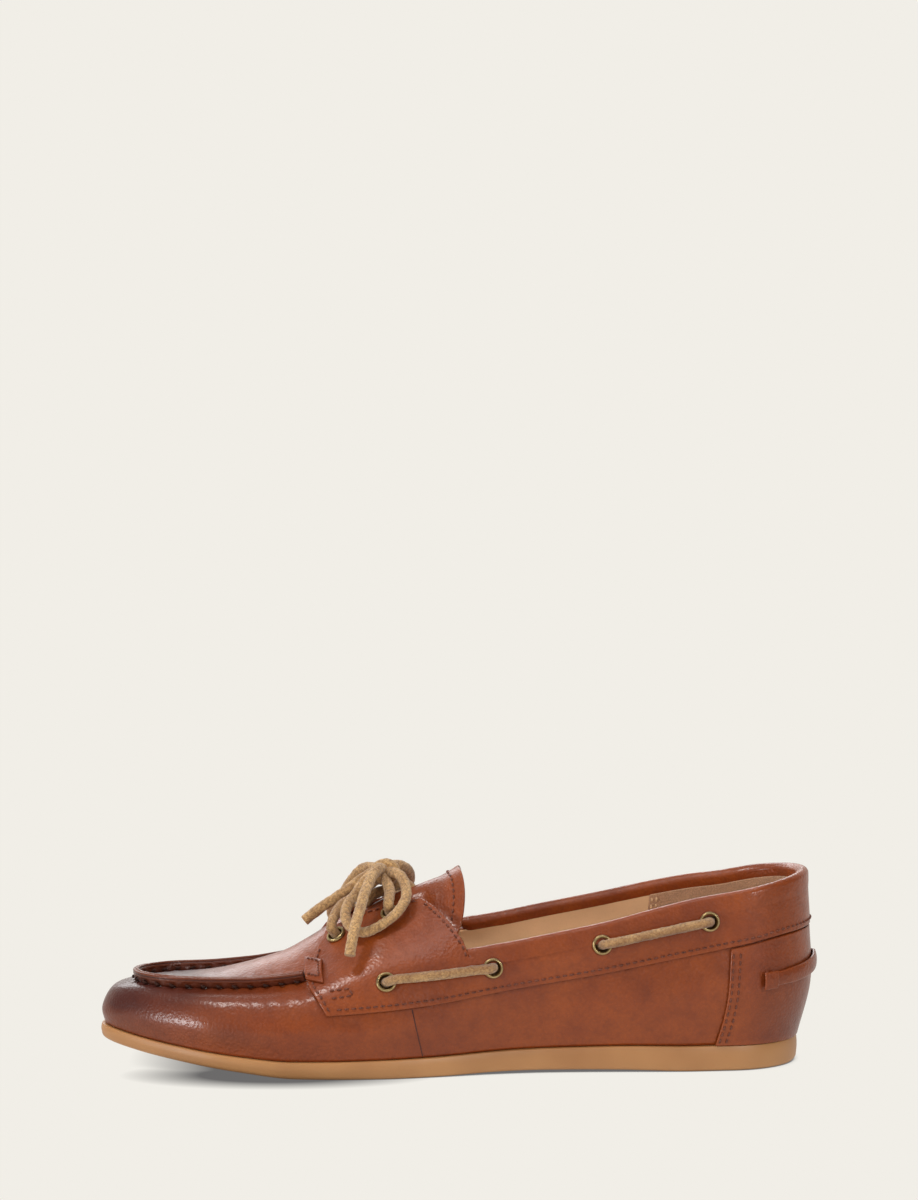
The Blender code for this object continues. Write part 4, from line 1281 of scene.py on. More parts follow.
def leaning_frames(route, leanings):
    """Frames whose up vector at each point is that point's own leaning, squared to the route."""
    frames = []
    last = len(route) - 1
    for i, leaning in enumerate(leanings):
        way = route[min(i + 1, last)] - route[max(i - 1, 0)]
        way /= np.linalg.norm(way)
        up = leaning - way * np.dot(leaning, way)
        up /= np.linalg.norm(up)
        frames.append((way, up, np.cross(way, up)))
    return frames


def swept(name, route, frames, section, around, finishes, closed=False, dark=None):
    """A solid swept along a route: section(i, angle) gives the radius towards up at angle zero."""
    points = []
    for i, (_, up, across) in enumerate(frames):
        for j in range(around):
            angle = 2 * math.pi * j / around
            radius = section(i, angle)
            points.append(route[i] + radius * (math.cos(angle) * up + math.sin(angle) * across))
    faces = []
    count = len(route)
    for i in range(count if closed else count - 1):
        faces += band_faces(i * around, (i + 1) % count * around, around)
    if not closed:
        faces.append(tuple(range(around)))
        faces.append(tuple((count - 1) * around + j for j in reversed(range(around))))
    return shaped(name, points, faces, finishes, 70, None, dark)


# Sole

def sole_solid(name, rings, count, finishes, bottom_finish=None):
    """A solid inside an outline: rings are (inset, height function), from the bottom up."""
    points, faces, kinds = [], [], []
    for i in range(count + 1):
        for side in ("outer", "inner"):
            run = rings if side == "outer" else rings[::-1]
            for inset, height in run:
                level = sole_level(inset)
                along = level.along(i / count)
                half = max(level.half(along, side, inset), 0.0)
                points.append((x_at(along), sign_of(side) * half, height(along)))
    around = 2 * len(rings)
    for i in range(count):
        faces += band_faces(i * around, (i + 1) * around, around)
        kinds += [0] * (around - 1) + [1 if bottom_finish else 0]
    names = [finishes, bottom_finish] if bottom_finish else [finishes]
    return shaped(name, points, faces, names, 40, kinds)


def build_sole():
    """The one-piece sole, its lower edge rounded and its wall a little crowned."""
    rings = []
    for step in range(6):
        turn = math.pi / 2 * step / 5
        inset = SOLE_ROUND * (1 - math.sin(turn))
        rise = SOLE_ROUND * (1 - math.cos(turn))
        rings.append((inset, lambda along, rise=rise: sole_bottom(along) + rise))
    for share in (0.35, 0.65):
        rings.append((-SOLE_CROWN, lambda along, share=share: wall_height(along, share)))
    rings.append((0.0, lambda along: sole_top(along) - SOLE_LIP))
    rings.append((0.3 * SOLE_LIP, lambda along: sole_top(along) - 0.3 * SOLE_LIP))
    rings.append((SOLE_LIP, sole_top))
    made = sole_solid("gum_sole", rings, 150, "gum_rubber", "siped_gum_rubber")
    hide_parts("outsole")


def wall_height(along, share):
    """A height on the sole's wall, as a share of the way from its lower round to its lip."""
    low = sole_bottom(along) + SOLE_ROUND
    return low + share * (sole_top(along) - SOLE_LIP - low)


def build_insole():
    """The footbed in its leather cover, rolled down at its edge."""
    inset = WELT_MARGIN + UPPER_WALL + LINING_WALL + 2 * GAP
    soft = FOOTBED_ROUND
    top = GAP + INSOLE_THICKNESS
    rings = [
        (inset, lambda along: sole_top(along) + GAP),
        (inset, lambda along: sole_top(along) + top - soft),
        (inset + 0.3 * soft, lambda along: sole_top(along) + top - 0.3 * soft),
        (inset + soft, lambda along: sole_top(along) + top),
    ]
    made = sole_solid("footbed", rings, 110, "lining_leather")
    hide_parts("insole")


# Upper

def closed_over(q):
    """Whether the leather closes over the foot at a column, in front of the throat."""
    return SEAM_LEVEL.along(q) > THROAT_FRONT + 0.001


def fine_columns(count):
    """Evenly spaced columns, with those that carry the corners of the flaps."""
    throat = [q_of(THROAT_FRONT), q_of(THROAT_FRONT + 0.004)]
    return stations(count, flap_columns() + throat)


def cut_eyelet_holes(made):
    """Holes for the eyelets' barrels, cut with one drill."""
    drill = bmesh.new()
    for _, point, normal in eyelet_places():
        bmesh.ops.create_cone(
            drill,
            cap_ends=True,
            segments=24,
            radius1=EYELET_BARREL / 2 + GAP,
            radius2=EYELET_BARREL / 2 + GAP,
            depth=DRILL_DEPTH,
            matrix=frame_at(point, normal),
        )
    mesh = bpy.data.meshes.new("drill")
    drill.to_mesh(mesh)
    drill.free()
    tool = bpy.data.objects.new("drill", mesh)
    bpy.context.scene.collection.objects.link(tool)
    hole = made.modifiers.new("eyelet holes", "BOOLEAN")
    hole.object = tool
    hole.solver = "EXACT"
    graph = bpy.context.evaluated_depsgraph_get()
    cut = bpy.data.meshes.new_from_object(made.evaluated_get(graph))
    made.modifiers.clear()
    made.data = cut
    bpy.data.objects.remove(tool)


def build_upper():
    """The vamp, apron and quarters: one lasted shell with soft creases and gathers at the seam."""
    columns = fine_columns(UPPER_COLUMNS)
    points, faces = [], []
    for side in ("outer", "inner"):
        base = len(points)
        for q in columns:
            top = 1.0 if closed_over(q) else rim(q, side)
            for j in range(UPPER_ROWS):
                t = top * j / (UPPER_ROWS - 1)
                point = last_point(q, t, side)
                lift = relief_at(point, side) + gather_at(q, t, side)
                points.append(point + lift * last_normal(q, t, side) if lift else point)
        faces += [tuple(base + v for v in face) for face in sheet_faces(UPPER_ROWS, len(columns))]
    made = shaped("leather_upper", points, faces, ["burnished_leather", "lining_leather"])
    wall = made.modifiers.new("wall", "SOLIDIFY")
    wall.thickness = UPPER_WALL
    wall.offset = -1.0
    wall.use_even_offset = True
    wall.material_offset = 1
    wall.material_offset_rim = 0
    cut_eyelet_holes(made)
    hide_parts("upper")


@functools.lru_cache(maxsize=None)
def seam_distance(side):
    """Length along the seam from the toe, as a table of columns and lengths."""
    columns = np.linspace(1.0, 0.0, 400)
    points = np.array([last_point(q, SEAM_KNOT, side) for q in columns])
    return columns[::-1], running_lengths(points)[::-1]


def stitch_wave(length):
    """How far the seam is pinched at a length along it: fully at each hand stitch, not between."""
    pitch = bpy.context.scene.boat_shoe_sizes.seam_pitch
    return 0.5 + 0.5 * math.cos(2 * math.pi * length / pitch)


def gather_at(q, t, side):
    """The leather is drawn in at each hole of the hand-sewn seam."""
    along = SEAM_LEVEL.along(q)
    if along < SADDLE_FRONT.at("along", 0.6) or t < 0.55:
        return 0.0
    columns, lengths = seam_distance(side)
    wave = stitch_wave(float(np.interp(q, columns, lengths)))
    away = (t - (SEAM_KNOT - 0.025)) / 0.055
    inside = (t - (SEAM_KNOT + 0.035)) / 0.055
    return -GATHER_DEPTH * wave * (math.exp(-away * away) + 0.7 * math.exp(-inside * inside))


def round_heel(column, count):
    """Columns from the outer side's end round the heel to the inner side's end."""
    grid = [column(1 - i / count, "outer") for i in range(count + 1)]
    return grid + [column(i / count, "inner") for i in range(1, count + 1)]


def build_lining():
    """The lining inside the leather, and the suede that lines the heel."""
    columns = fine_columns(LINING_COLUMNS)
    offset = -(UPPER_WALL + LINING_GAP)

    def column(q, side, low, high, off):
        rises = [low + (high - low) * j / (LINING_ROWS - 1) for j in range(LINING_ROWS)]
        return [(q, t, side, off) for t in rises]

    def top_of(q, side):
        return 0.998 if closed_over(q) else rim(q, side) - 0.006

    for side in ("outer", "inner"):
        grid = [column(q, side, 0.03, top_of(q, side), offset) for q in columns]
        surface_sheet("lining_" + side, grid, LINING_WALL, ["lining_leather"])
    end = q_of(HEEL_SUEDE_FRONT)
    deep = offset - LINING_WALL - LINING_GAP

    def patch(share, side):
        return column(end * share, side, 0.05, SEAM_KNOT - 0.004, deep)

    surface_sheet("heel_lining", round_heel(patch, HEEL_COLUMNS), HEEL_SUEDE, ["heel_suede"])


# Saddle

def saddle_height(q, side, up):
    """The t of a place on the saddle: up runs from the hem to the top edge."""
    hem = hem_t(q, side)
    return hem + (rim(q, side) - hem) * up


@functools.lru_cache(maxsize=None)
def hem_t(q, side):
    along = SEAM_LEVEL.along(q)
    return t_at_height(q, side, COLLAR_HEIGHT * SADDLE_HEM.at("height", along))


@functools.lru_cache(maxsize=None)
def saddle_end(side, up):
    return column_reaching(side, SADDLE_FRONT.at("along", up), lambda q: saddle_height(q, side, up))


def saddle_place(q, side, up):
    """The column and t of a place on the saddle, drawn towards its slanting front edge."""
    front = q_of(SADDLE_FRONT.at("along", 0.0))
    fade = q_of(SADDLE_FADE)
    share = max(0.0, (q - fade) / (front - fade))
    moved = q + (saddle_end(side, up) - front) * share
    return moved, saddle_height(moved, side, up)


def build_saddle():
    """The overlay that carries the eyelets: both flaps and the band round the heel."""
    front = q_of(SADDLE_FRONT.at("along", 0.0))
    columns = [q for q in fine_columns(SADDLE_COLUMNS) if q < front - 0.003] + [front]
    offset = LEAF_GAP + SADDLE_LEATHER
    shares = [j / (SADDLE_ROWS - 1) for j in range(SADDLE_ROWS)]

    def column(q, side):
        return [(*saddle_place(q, side, up), side, offset) for up in shares]

    grid = [column(q, "outer") for q in reversed(columns)]
    grid += [column(q, "inner") for q in columns[1:]]
    made = surface_sheet("saddle_overlay", grid, SADDLE_LEATHER, ["burnished_leather"], 0.5)
    cut_eyelet_holes(made)
    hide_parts("saddle")


# Heel

@functools.lru_cache(maxsize=None)
def counter_end(side, up):
    return column_reaching(side, COUNTER_FRONT.at("along", up), lambda q: counter_height(q, side, up))


def counter_height(q, side, up):
    hem = COLLAR_HEIGHT * SADDLE_HEM.at("height", SEAM_LEVEL.along(q)) - HEM_GAP
    return t_at_height(q, side, hem) * up


def counter_place(share, side, up):
    q = counter_end(side, up) * share
    return q, counter_height(q, side, up)


def build_counter():
    """The heel counter panel."""
    rows = 20
    offset = LEAF_GAP + COUNTER_LEATHER

    def column(share, side):
        return [(*counter_place(share, side, j / (rows - 1)), side, offset) for j in range(rows)]

    grid = round_heel(column, HEEL_COLUMNS)
    made = surface_sheet("counter_panel", grid, COUNTER_LEATHER, ["burnished_leather"], 0.5)
    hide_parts("heel_counter")


def strap_offset():
    return LEAF_GAP + COUNTER_LEATHER + LEAF_GAP + STRAP_LEATHER


def strap_middle(share):
    return COLLAR_HEIGHT * (STRAP_HEIGHT_BACK + (STRAP_HEIGHT_FRONT - STRAP_HEIGHT_BACK) * share)


def build_strap():
    """The narrow folded strap round the heel, crowned across its width, with its end tabs."""
    count, rows = 44, 9

    def column(share, side, width, lift):
        q = q_of(STRAP_FRONT) * share
        column_places = []
        for j in range(rows):
            across = -1 + 2 * j / (rows - 1)
            t = t_at_height(q, side, strap_middle(share) + across * width / 2)
            crown = STRAP_CROWN * (1 - across * across)
            column_places.append((q, t, side, strap_offset() - STRAP_BED + lift + crown))
        return column_places

    def narrowed(share):
        return STRAP_WIDTH * (1 - 0.10 * smooth_step(share, 0.72, 0.86))

    shares = [1 - i / count for i in range(count + 1)]
    grid = [column(s, "outer", narrowed(s), 0.0) for s in shares]
    grid += [column(s, "inner", narrowed(s), 0.0) for s in reversed(shares[:-1])]
    finishes = ["dark_burnished_leather"]
    made = surface_sheet("strap_round_heel", grid, STRAP_LEATHER, finishes, 0.6, False)
    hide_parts("heel_strap")
    for side in ("outer", "inner"):
        shares = [1.05 - 0.13 * i / 6 for i in range(7)]
        grid = [column(s, side, STRAP_WIDTH * 1.12, STRAP_TAB) for s in shares]
        surface_sheet("strap_tab_" + side, grid, STRAP_TAB, finishes, 0.6, False)


# Hand-sewn seam

def seam_ridge_route(lift):
    """Points along the middle of the ridge, from the outer saddle front round the toe."""
    end = q_of(SADDLE_FRONT.at("along", 0.5) + 0.006)
    count = 150
    columns = [end + (1 - end) * i / count for i in range(count + 1)]
    outer = [(q, "outer") for q in columns]
    inner = [(q, "inner") for q in reversed(columns[:-1])]
    route, ups = [], []
    for q, side in outer + inner:
        normal = last_normal(q, SEAM_KNOT, side)
        route.append(last_point(q, SEAM_KNOT, side) + lift * normal)
        ups.append(normal)
    return np.array(route), np.array(ups)


def build_ridge():
    """The raised moccasin seam: two leather edges side by side, pinched by each hand stitch."""
    route, ups = seam_ridge_route(SEAM_GAP + SEAM_RIDGE / 2)
    lengths = running_lengths(route)
    middle = lengths[-1] / 2
    count, around = len(route), 56
    frames = leaning_frames(route, ups + np.array((0.0, 0.0, 0.15)))

    def section(i, angle):
        wave = stitch_wave(lengths[i] - middle)
        toward_top, toward_side = math.cos(angle), abs(math.sin(angle))
        tall = SEAM_RIDGE / 2 + (RIDGE_TOP if toward_top > 0 else SEAM_GAP + RIDGE_FOOT)
        wide = SEAM_RIDGE / 2 - RIDGE_SLIM
        if toward_top < 0:
            wide -= RIDGE_PINCH * wave * min(1.0, -2.2 * toward_top)
        box = ((abs(toward_top) / tall) ** 3.2 + (toward_side / wide) ** 3.2) ** (-1 / 3.2)
        turn = abs(math.remainder(angle, 2 * math.pi))
        groove = RIDGE_GROOVE * math.exp(-((turn / 0.20) ** 2))
        edge = RIDGE_LINE * math.exp(-(((turn - RIDGE_LINE_TURN) / 0.11) ** 2))
        return box - groove - edge

    # Painted shade: the ridge is darker down its sides and underneath than on its top, and darker along
    # the pressed line at each edge.
    ring = []
    for j in range(around):
        turn = abs(math.remainder(2 * math.pi * j / around, 2 * math.pi))
        line = math.exp(-(((turn - RIDGE_LINE_TURN) / 0.12) ** 2))
        ring.append(min(1.0, 0.42 + 0.16 * turn + 0.5 * line))
    finishes = ["dark_burnished_leather"]
    made = swept("seam_ridge", route, frames, section, around, finishes, dark=ring * count)
    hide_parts("moc_ridge")
    for side in ("outer", "inner"):
        build_ridge_tab(side)


def build_ridge_tab(side):
    """The small tab that covers the ridge's end on the saddle."""
    rows, count = 9, 9
    low, high = RIDGE_TAB_LOW, RIDGE_TAB_HIGH
    offset = LEAF_GAP + SADDLE_LEATHER + RIDGE_TAB
    grid = []
    for i in range(count):
        along = RIDGE_TAB_FRONT + (RIDGE_TAB_BACK - RIDGE_TAB_FRONT) * i / (count - 1)
        column = []
        for j in range(rows):
            height = low + (high - low) * j / (rows - 1)
            q, t = place_at(side, along, height)
            edge = 1 - (2 * j / (rows - 1) - 1) ** 4
            column.append((q, t, side, offset + RIDGE_TAB_CROWN * edge))
        grid.append(column)
    surface_sheet("ridge_tab_" + side, grid, RIDGE_TAB, ["dark_burnished_leather"], 0.4, False)


# Collar

def build_collar():
    """The padded roll along the collar, folded down smoothly over the leather on both sides."""
    start = q_of(COLLAR_CORNER + 0.004)
    count, around = 170, 56
    centre = (LEAF_GAP + SADDLE_LEATHER - UPPER_WALL) / 2
    columns = [start * (1 - i / count) for i in range(count + 1)]
    places = [(q, "outer") for q in columns] + [(q, "inner") for q in reversed(columns[:-1])]
    route, outs = [], []
    for q, side in places:
        below = last_point(q, SEAM_KNOT - 0.02, side)
        top = last_point(q, SEAM_KNOT, side)
        up = (top - below) / np.linalg.norm(top - below)
        normal = last_normal(q, SEAM_KNOT, side)
        route.append(top + up * (GAP + COLLAR_ROLL / 2) + centre * normal)
        outs.append(normal)
    route = np.array(route)
    frames = leaning_frames(route, outs)
    radius = COLLAR_ROLL / 2
    outside = LEAF_GAP + SADDLE_LEATHER - centre
    inside = UPPER_WALL + LINING_GAP + LINING_WALL + centre

    def section(i, angle):
        end = smooth_step(min(i, len(route) - 1 - i), -1, 3)
        ripple = 0.010 * noise.noise(Vector(route[i] * 260)) + 0.02 * noise.noise(Vector(route[i] * 70))
        base = radius * (0.82 + 0.18 * end + ripple)
        out, down = math.cos(angle), math.sin(angle)
        if out > 0:
            flat, depth = outside + COLLAR_SWELL, radius + GAP + OUTER_SKIRT
        else:
            flat, depth = inside + COLLAR_SWELL, radius + GAP + INNER_SKIRT
        if down <= 0:
            share = end * abs(out) ** 3
            return base + (flat - base) * share * smooth_step(-down, 1.0, 0.0)
        reach = min(flat / max(abs(out), 1e-6), depth / max(down, 1e-6))
        past = smooth_step(down * flat / (abs(out) * depth + 1e-9), 1.0, 1.25)
        slim = SKIRT_TAPER * smooth_step(down * reach / depth, 0.35, 1.0)
        return base + end * (reach - slim - base) * (1 - past)

    made = swept("collar_padding", route, frames, section, around, ["burnished_leather"])
    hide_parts("collar_roll")


# Tongue

def tongue_end(across):
    """Where the tongue ends: cut back at its crown and at both corners."""
    crown = max(0.0, 1 - abs(across) / 0.55) ** 2
    return TONGUE_END + TONGUE_CROWN_CUT * crown + TONGUE_CORNER_CUT * across**6


def tongue_place(along, across):
    """A place on the tongue: the point on the last and the offset from it."""
    half = BALL_WIDTH * TONGUE_HALF.at("half", along)
    cover = BALL_WIDTH * THROAT.at("half", along) - TONGUE_COVER
    side = "outer" if across < 0 else "inner"
    q = q_of(along)
    t = t_at_half(q, side, abs(across) * half)
    free = max(0.0, 1 - (abs(across) * half / cover) ** 2)
    rise = TONGUE_RISE * TONGUE_HALF.at("rise", along) * free
    return q, t, side, rise - UPPER_WALL - TONGUE_GAP


def build_tongue():
    """The tongue, lined beneath, with its end standing free of the flaps."""
    columns, rows = 64, 41
    outer, inner = [], []
    for i in range(columns):
        for j in range(rows):
            across = -1 + 2 * j / (rows - 1)
            along = TONGUE_FRONT + (tongue_end(across) - TONGUE_FRONT) * i / (columns - 1)
            q, t, side, offset = tongue_place(along, across)
            outer.append(offset_point(q, t, side, offset))
            inner.append(offset_point(q, t, side, offset - TONGUE_THICKNESS))
    finishes = ["burnished_leather", "lining_leather"]
    made = leather_sheet("lined_tongue", outer, inner, rows, finishes, 0.5)
    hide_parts("tongue")


# Eyelets and laces

def build_eyelets():
    """Pressed eyelets: a rolled rim on a barrel, turned from one profile."""
    seat = eyelet_seat()
    rim_middle = (EYELET_FLANGE + EYELET_HOLE) / 4
    rim_half = (EYELET_FLANGE - EYELET_HOLE) / 4
    profile = [(EYELET_BARREL / 2, seat - EYELET_DEPTH), (EYELET_HOLE / 2, seat - EYELET_DEPTH)]
    for step in range(11):
        turn = math.pi * (1 - step / 10)
        profile.append((rim_middle + rim_half * math.cos(turn), seat + EYELET_HEIGHT * math.sin(turn)))
    profile.append((EYELET_BARREL / 2, seat - 0.0001))
    around = 40
    points, faces = [], []
    for i in range(around):
        turn = 2 * math.pi * i / around
        points += [(r * math.cos(turn), r * math.sin(turn), z) for r, z in profile]
    rows = len(profile)
    for i in range(around):
        faces += band_faces(i * rows, (i + 1) % around * rows, rows)
    for name, point, normal in eyelet_places():
        place = frame_at(point, normal)
        moved = [tuple(place @ Vector(p)) for p in points]
        made = shaped("brass_eyelet_" + name, moved, faces, ["antique_brass"], 60)
        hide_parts("eyelet_" + name)


def lace_tube(name, route, flat, first_up, shade_and_tone_share=0.0, closed=False):
    """A rawhide lace: a little flat, with a rough nap, cut square at its ends."""
    around = 16
    frames = section_frames(route, first_up, closed)
    count = len(route)
    radius = LACE / 2

    def section(i, angle):
        oval = 1.0 - flat * math.cos(angle) ** 2
        spot = Vector(route[i] * 700 + 0.9 * np.array((math.cos(angle), math.sin(angle), 0.0)))
        rough = 0.09 * noise.noise(spot) + 0.07 * noise.noise(spot * 3.1)
        slow = 0.04 * noise.noise(Vector(route[i] * 120))
        return radius * (oval + rough + slow)

    # Painted shade: each lace is darker on its underside than on its top, by a share that patches of
    # darker tone vary.
    dark = []
    for i in range(count):
        patch = 0.5 + 0.5 * noise.noise(Vector(route[i] * 160))
        for j in range(around):
            below = 0.5 - 0.5 * math.cos(2 * math.pi * j / around)
            dark.append(min(1.0, shade_and_tone_share * (0.4 + 0.9 * below) * (0.5 + patch)))
    return swept(name, route, frames, section, around, ["rawhide_lace"], closed, dark)


def build_side_laces():
    """The lace that runs along each side, in at one eyelet and out at the next."""
    lift = eyelet_seat() + EYELET_HEIGHT + LACE / 2
    for side in ("outer", "inner"):
        for first, second in ((0, 1), (2, 3)):
            name, a, a_height = SIDE_EYELETS[first]
            _, b, b_height = SIDE_EYELETS[second]

            def at(share, off):
                q = q_of(a + (b - a) * share)
                height = COLLAR_HEIGHT * (a_height + (b_height - a_height) * share)
                return offset_point(q, t_at_height(q, side, height), side, off)

            route = [at(0.0, -LACE_DIP), at(0.004, LACE_DIP), at(0.03, lift - LACE_ENTRY_DIP)]
            route += [at(share, lift) for share in (0.10, 0.25, 0.40, 0.55, 0.70, 0.85, 0.95)]
            route += [at(0.985, lift - LACE_DIP), at(0.998, LACE_DIP), at(1.0, -LACE_DIP)]
            line = round_route(route, SIDE_LACE_SPACING)
            place = side + "_" + name[:-2]
            made = lace_tube("lace_" + place, line, 0.16, (0, sign_of(side), 0.3), 0.75)
            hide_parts("side_lace_" + place)


def throat_start(side, name, high):
    """The first points of a lace out of a throat eyelet, from inside the barrel upwards."""
    for place, point, normal in eyelet_places():
        if place == side + "_" + name:
            clear = eyelet_seat() + EYELET_HEIGHT
            return [point + normal * off for off in (-LACE_DIP, clear, clear + high)]
    raise RuntimeError("no eyelet is called " + name)


def mirrored_route(route):
    return [(x, -y, z) for x, y, z in route]


def build_bow():
    """The bow: two laces up from the throat eyelets through the knot, and the crossing below."""
    knot = np.array(KNOT_PLACE)
    near = throat_start("outer", "throat_high", 0.7 * LACE) + list(STRAND_HIGH)
    near += [knot + np.array((0.0006, -0.0012, -0.0010))] + list(LOOP_OUTER)
    near += [knot + np.array((-0.0006, -0.0016, 0.0006))] + list(END_HANGING)
    far = throat_start("inner", "throat_high", 0.7 * LACE) + mirrored_route(STRAND_HIGH)
    far += [knot + np.array((0.0006, 0.0016, -0.0006))] + list(LOOP_INNER)
    far += [knot + np.array((-0.0016, 0.0006, 0.0))] + list(END_FREE)
    rows = (
        ("bow_lace_outer", near, ("bow_loop_outer", "bow_end_hanging")),
        ("bow_lace_inner", far, ("bow_loop_inner", "bow_end_free")),
    )
    for name, points, nodes in rows:
        line = round_route(points, BOW_SPACING)
        made = lace_tube(name, line, 0.10, (0, 0, 1), 0.12)
        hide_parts(*nodes)
    low = throat_start("outer", "throat_low", 0.7 * LACE) + list(STRAND_LOW)
    low += [knot + np.array((-0.0006, 0.0, -0.0022))]
    low += mirrored_route(STRAND_LOW)[::-1] + throat_start("inner", "throat_low", 0.7 * LACE)[::-1]
    line = round_route(low, BOW_SPACING)
    made = lace_tube("lace_crossing", line, 0.10, (0, 0, 1), 0.30)
    ring = []
    for step in range(72):
        turn = 2 * math.pi * step / 72
        ring.append(
            knot
            + WRAP_MIDDLE
            + WRAP_HALF_LENGTH * math.cos(turn) * np.array((1.0, 0.10, 0.05))
            + WRAP_HALF_HEIGHT * math.sin(turn) * np.array((0.0, 0.25, 1.0))
        )
    # The half knot lies in shadow under the bow, so it is painted almost fully dark.
    spots = [knot + HALF_KNOT + np.array(spot) for spot in HALF_KNOT_PATH]
    crossing = round_route(spots, BOW_SPACING)
    lace_tube("bow_half_knot", crossing, 0.06, (0, -1, 0), 0.9)
    wrap = lace_tube("bow_knot_wrap", np.array(ring), 0.06, (0, -1, 0), 0.10, True)
    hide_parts("bow_knot")


# Stitching

class Stitches:
    """Short thread stitches gathered into one mesh."""

    def __init__(self, name, thread):
        self.name = name
        self.thread = thread
        self.points = []
        self.faces = []

    def stitch(self, start, end, normal, radius):
        """One stitch: a thin arch whose ends dip into the leather."""
        way = end - start
        across = np.cross(way / np.linalg.norm(way), normal)
        rings, around = 7, 6
        base = len(self.points)
        for i in range(rings):
            s = -1 + 2 * i / (rings - 1)
            middle = (start + end) / 2 + way * s / 2 + normal * radius * (0.65 - 1.5 * s**4)
            size = radius * math.sqrt(max(1 - s * s, 0.05))
            for j in range(around):
                turn = 2 * math.pi * j / around
                self.points.append(middle + size * (math.cos(turn) * normal + math.sin(turn) * across))
        for i in range(rings - 1):
            self.faces += band_faces(base + i * around, base + (i + 1) * around, around)
        self.faces.append(tuple(base + j for j in reversed(range(around))))
        self.faces.append(tuple(base + (rings - 1) * around + j for j in range(around)))

    def row(self, places, pitch=None, share=0.78):
        """A row of stitches along places, each a point and a normal."""
        sizes = bpy.context.scene.boat_shoe_sizes
        pitch = pitch or sizes.stitch_pitch
        points = np.array([p for p, _ in places])
        normals = np.array([n for _, n in places])
        lengths = running_lengths(points)
        count = max(1, round(lengths[-1] / pitch))
        each = lengths[-1] / count
        for i in range(count):
            first = each * (i + (1 - share) / 2)
            normal = read_along(lengths, normals, first + each * share / 2)
            normal /= np.linalg.norm(normal)
            start = read_along(lengths, points, first)
            end = read_along(lengths, points, first + each * share)
            self.stitch(start, end, normal, sizes.thread / 2)

    def build(self):
        return shaped(self.name, self.points, self.faces, [self.thread], 60)


def on_sheet(q, t, side, offset):
    """A point and normal on a sheet that lies on the last, creases and all."""
    point, normal = last_point(q, t, side), last_normal(q, t, side)
    return point + (offset + relief_at(point, side)) * normal, normal


def moved_up(q, t, side, distance):
    """The t a distance higher up the column."""
    step = 0.004
    size = np.linalg.norm(last_point(q, t + step, side) - last_point(q, t - step, side)) / (2 * step)
    return t + distance / size


def moved_back(q, t, side, distance):
    """The column a distance nearer the heel."""
    step = 0.004
    size = np.linalg.norm(last_point(q + step, t, side) - last_point(q - step, t, side)) / (2 * step)
    return q - distance / size


def stitch_saddle(rows, side):
    """Every row on one side of the saddle."""
    on_top = LEAF_GAP + SADDLE_LEATHER
    front = q_of(SADDLE_FRONT.at("along", 0.0))
    hem = []
    for i in range(121):
        q, t = saddle_place(front * (0.985 - 0.985 * i / 120), side, 0.0)
        hem.append(on_sheet(q, moved_up(q, t, side, HEM_STITCH), side, on_top))
    rows.row(hem)
    edge = []
    for i in range(41):
        up = 0.05 + 0.83 * i / 40
        q, t = saddle_place(front, side, up)
        edge.append(on_sheet(moved_back(q, t, side, EDGE_STITCH), t, side, on_top))
    rows.row(edge)
    flap = []
    for i in range(25):
        along = COLLAR_CORNER + 0.004 + (FLAP_CORNER - COLLAR_CORNER - 0.008) * i / 24
        q = q_of(along)
        flap.append(on_sheet(q, moved_up(q, rim(q, side), side, -1.5 * EDGE_STITCH), side, on_top))
    rows.row(flap)
    throat = []
    for i in range(25):
        q = q_of(FLAP_CORNER + 0.006 + (THROAT_FRONT - FLAP_CORNER - 0.004) * i / 24)
        throat.append(on_sheet(q, moved_up(q, rim(q, side), side, -EDGE_STITCH), side, on_top))
    rows.row(throat)
    bar = []
    for (a, low), (b, high) in zip(BAR_CORNERS, BAR_CORNERS[1:]):
        for i in range(12):
            share = i / 12
            height = (low + (high - low) * share) * COLLAR_HEIGHT
            bar.append(on_sheet(*place_at(side, a + (b - a) * share, height), side, on_top))
    rows.row(bar, BAR_PITCH)
    tab = []
    corners = ((0.86, 0.14), (0.16, 0.14), (0.16, 0.86), (0.86, 0.86))
    for (a, low), (b, high) in zip(corners, corners[1:]):
        for i in range(9):
            share, rise = a + (b - a) * i / 8, low + (high - low) * i / 8
            along = RIDGE_TAB_BACK + (RIDGE_TAB_FRONT - RIDGE_TAB_BACK) * share
            height = RIDGE_TAB_LOW + (RIDGE_TAB_HIGH - RIDGE_TAB_LOW) * rise
            q, t = place_at(side, along, height)
            tab.append(on_sheet(q, t, side, on_top + TAB_STITCH))
    rows.row(tab, TAB_PITCH)


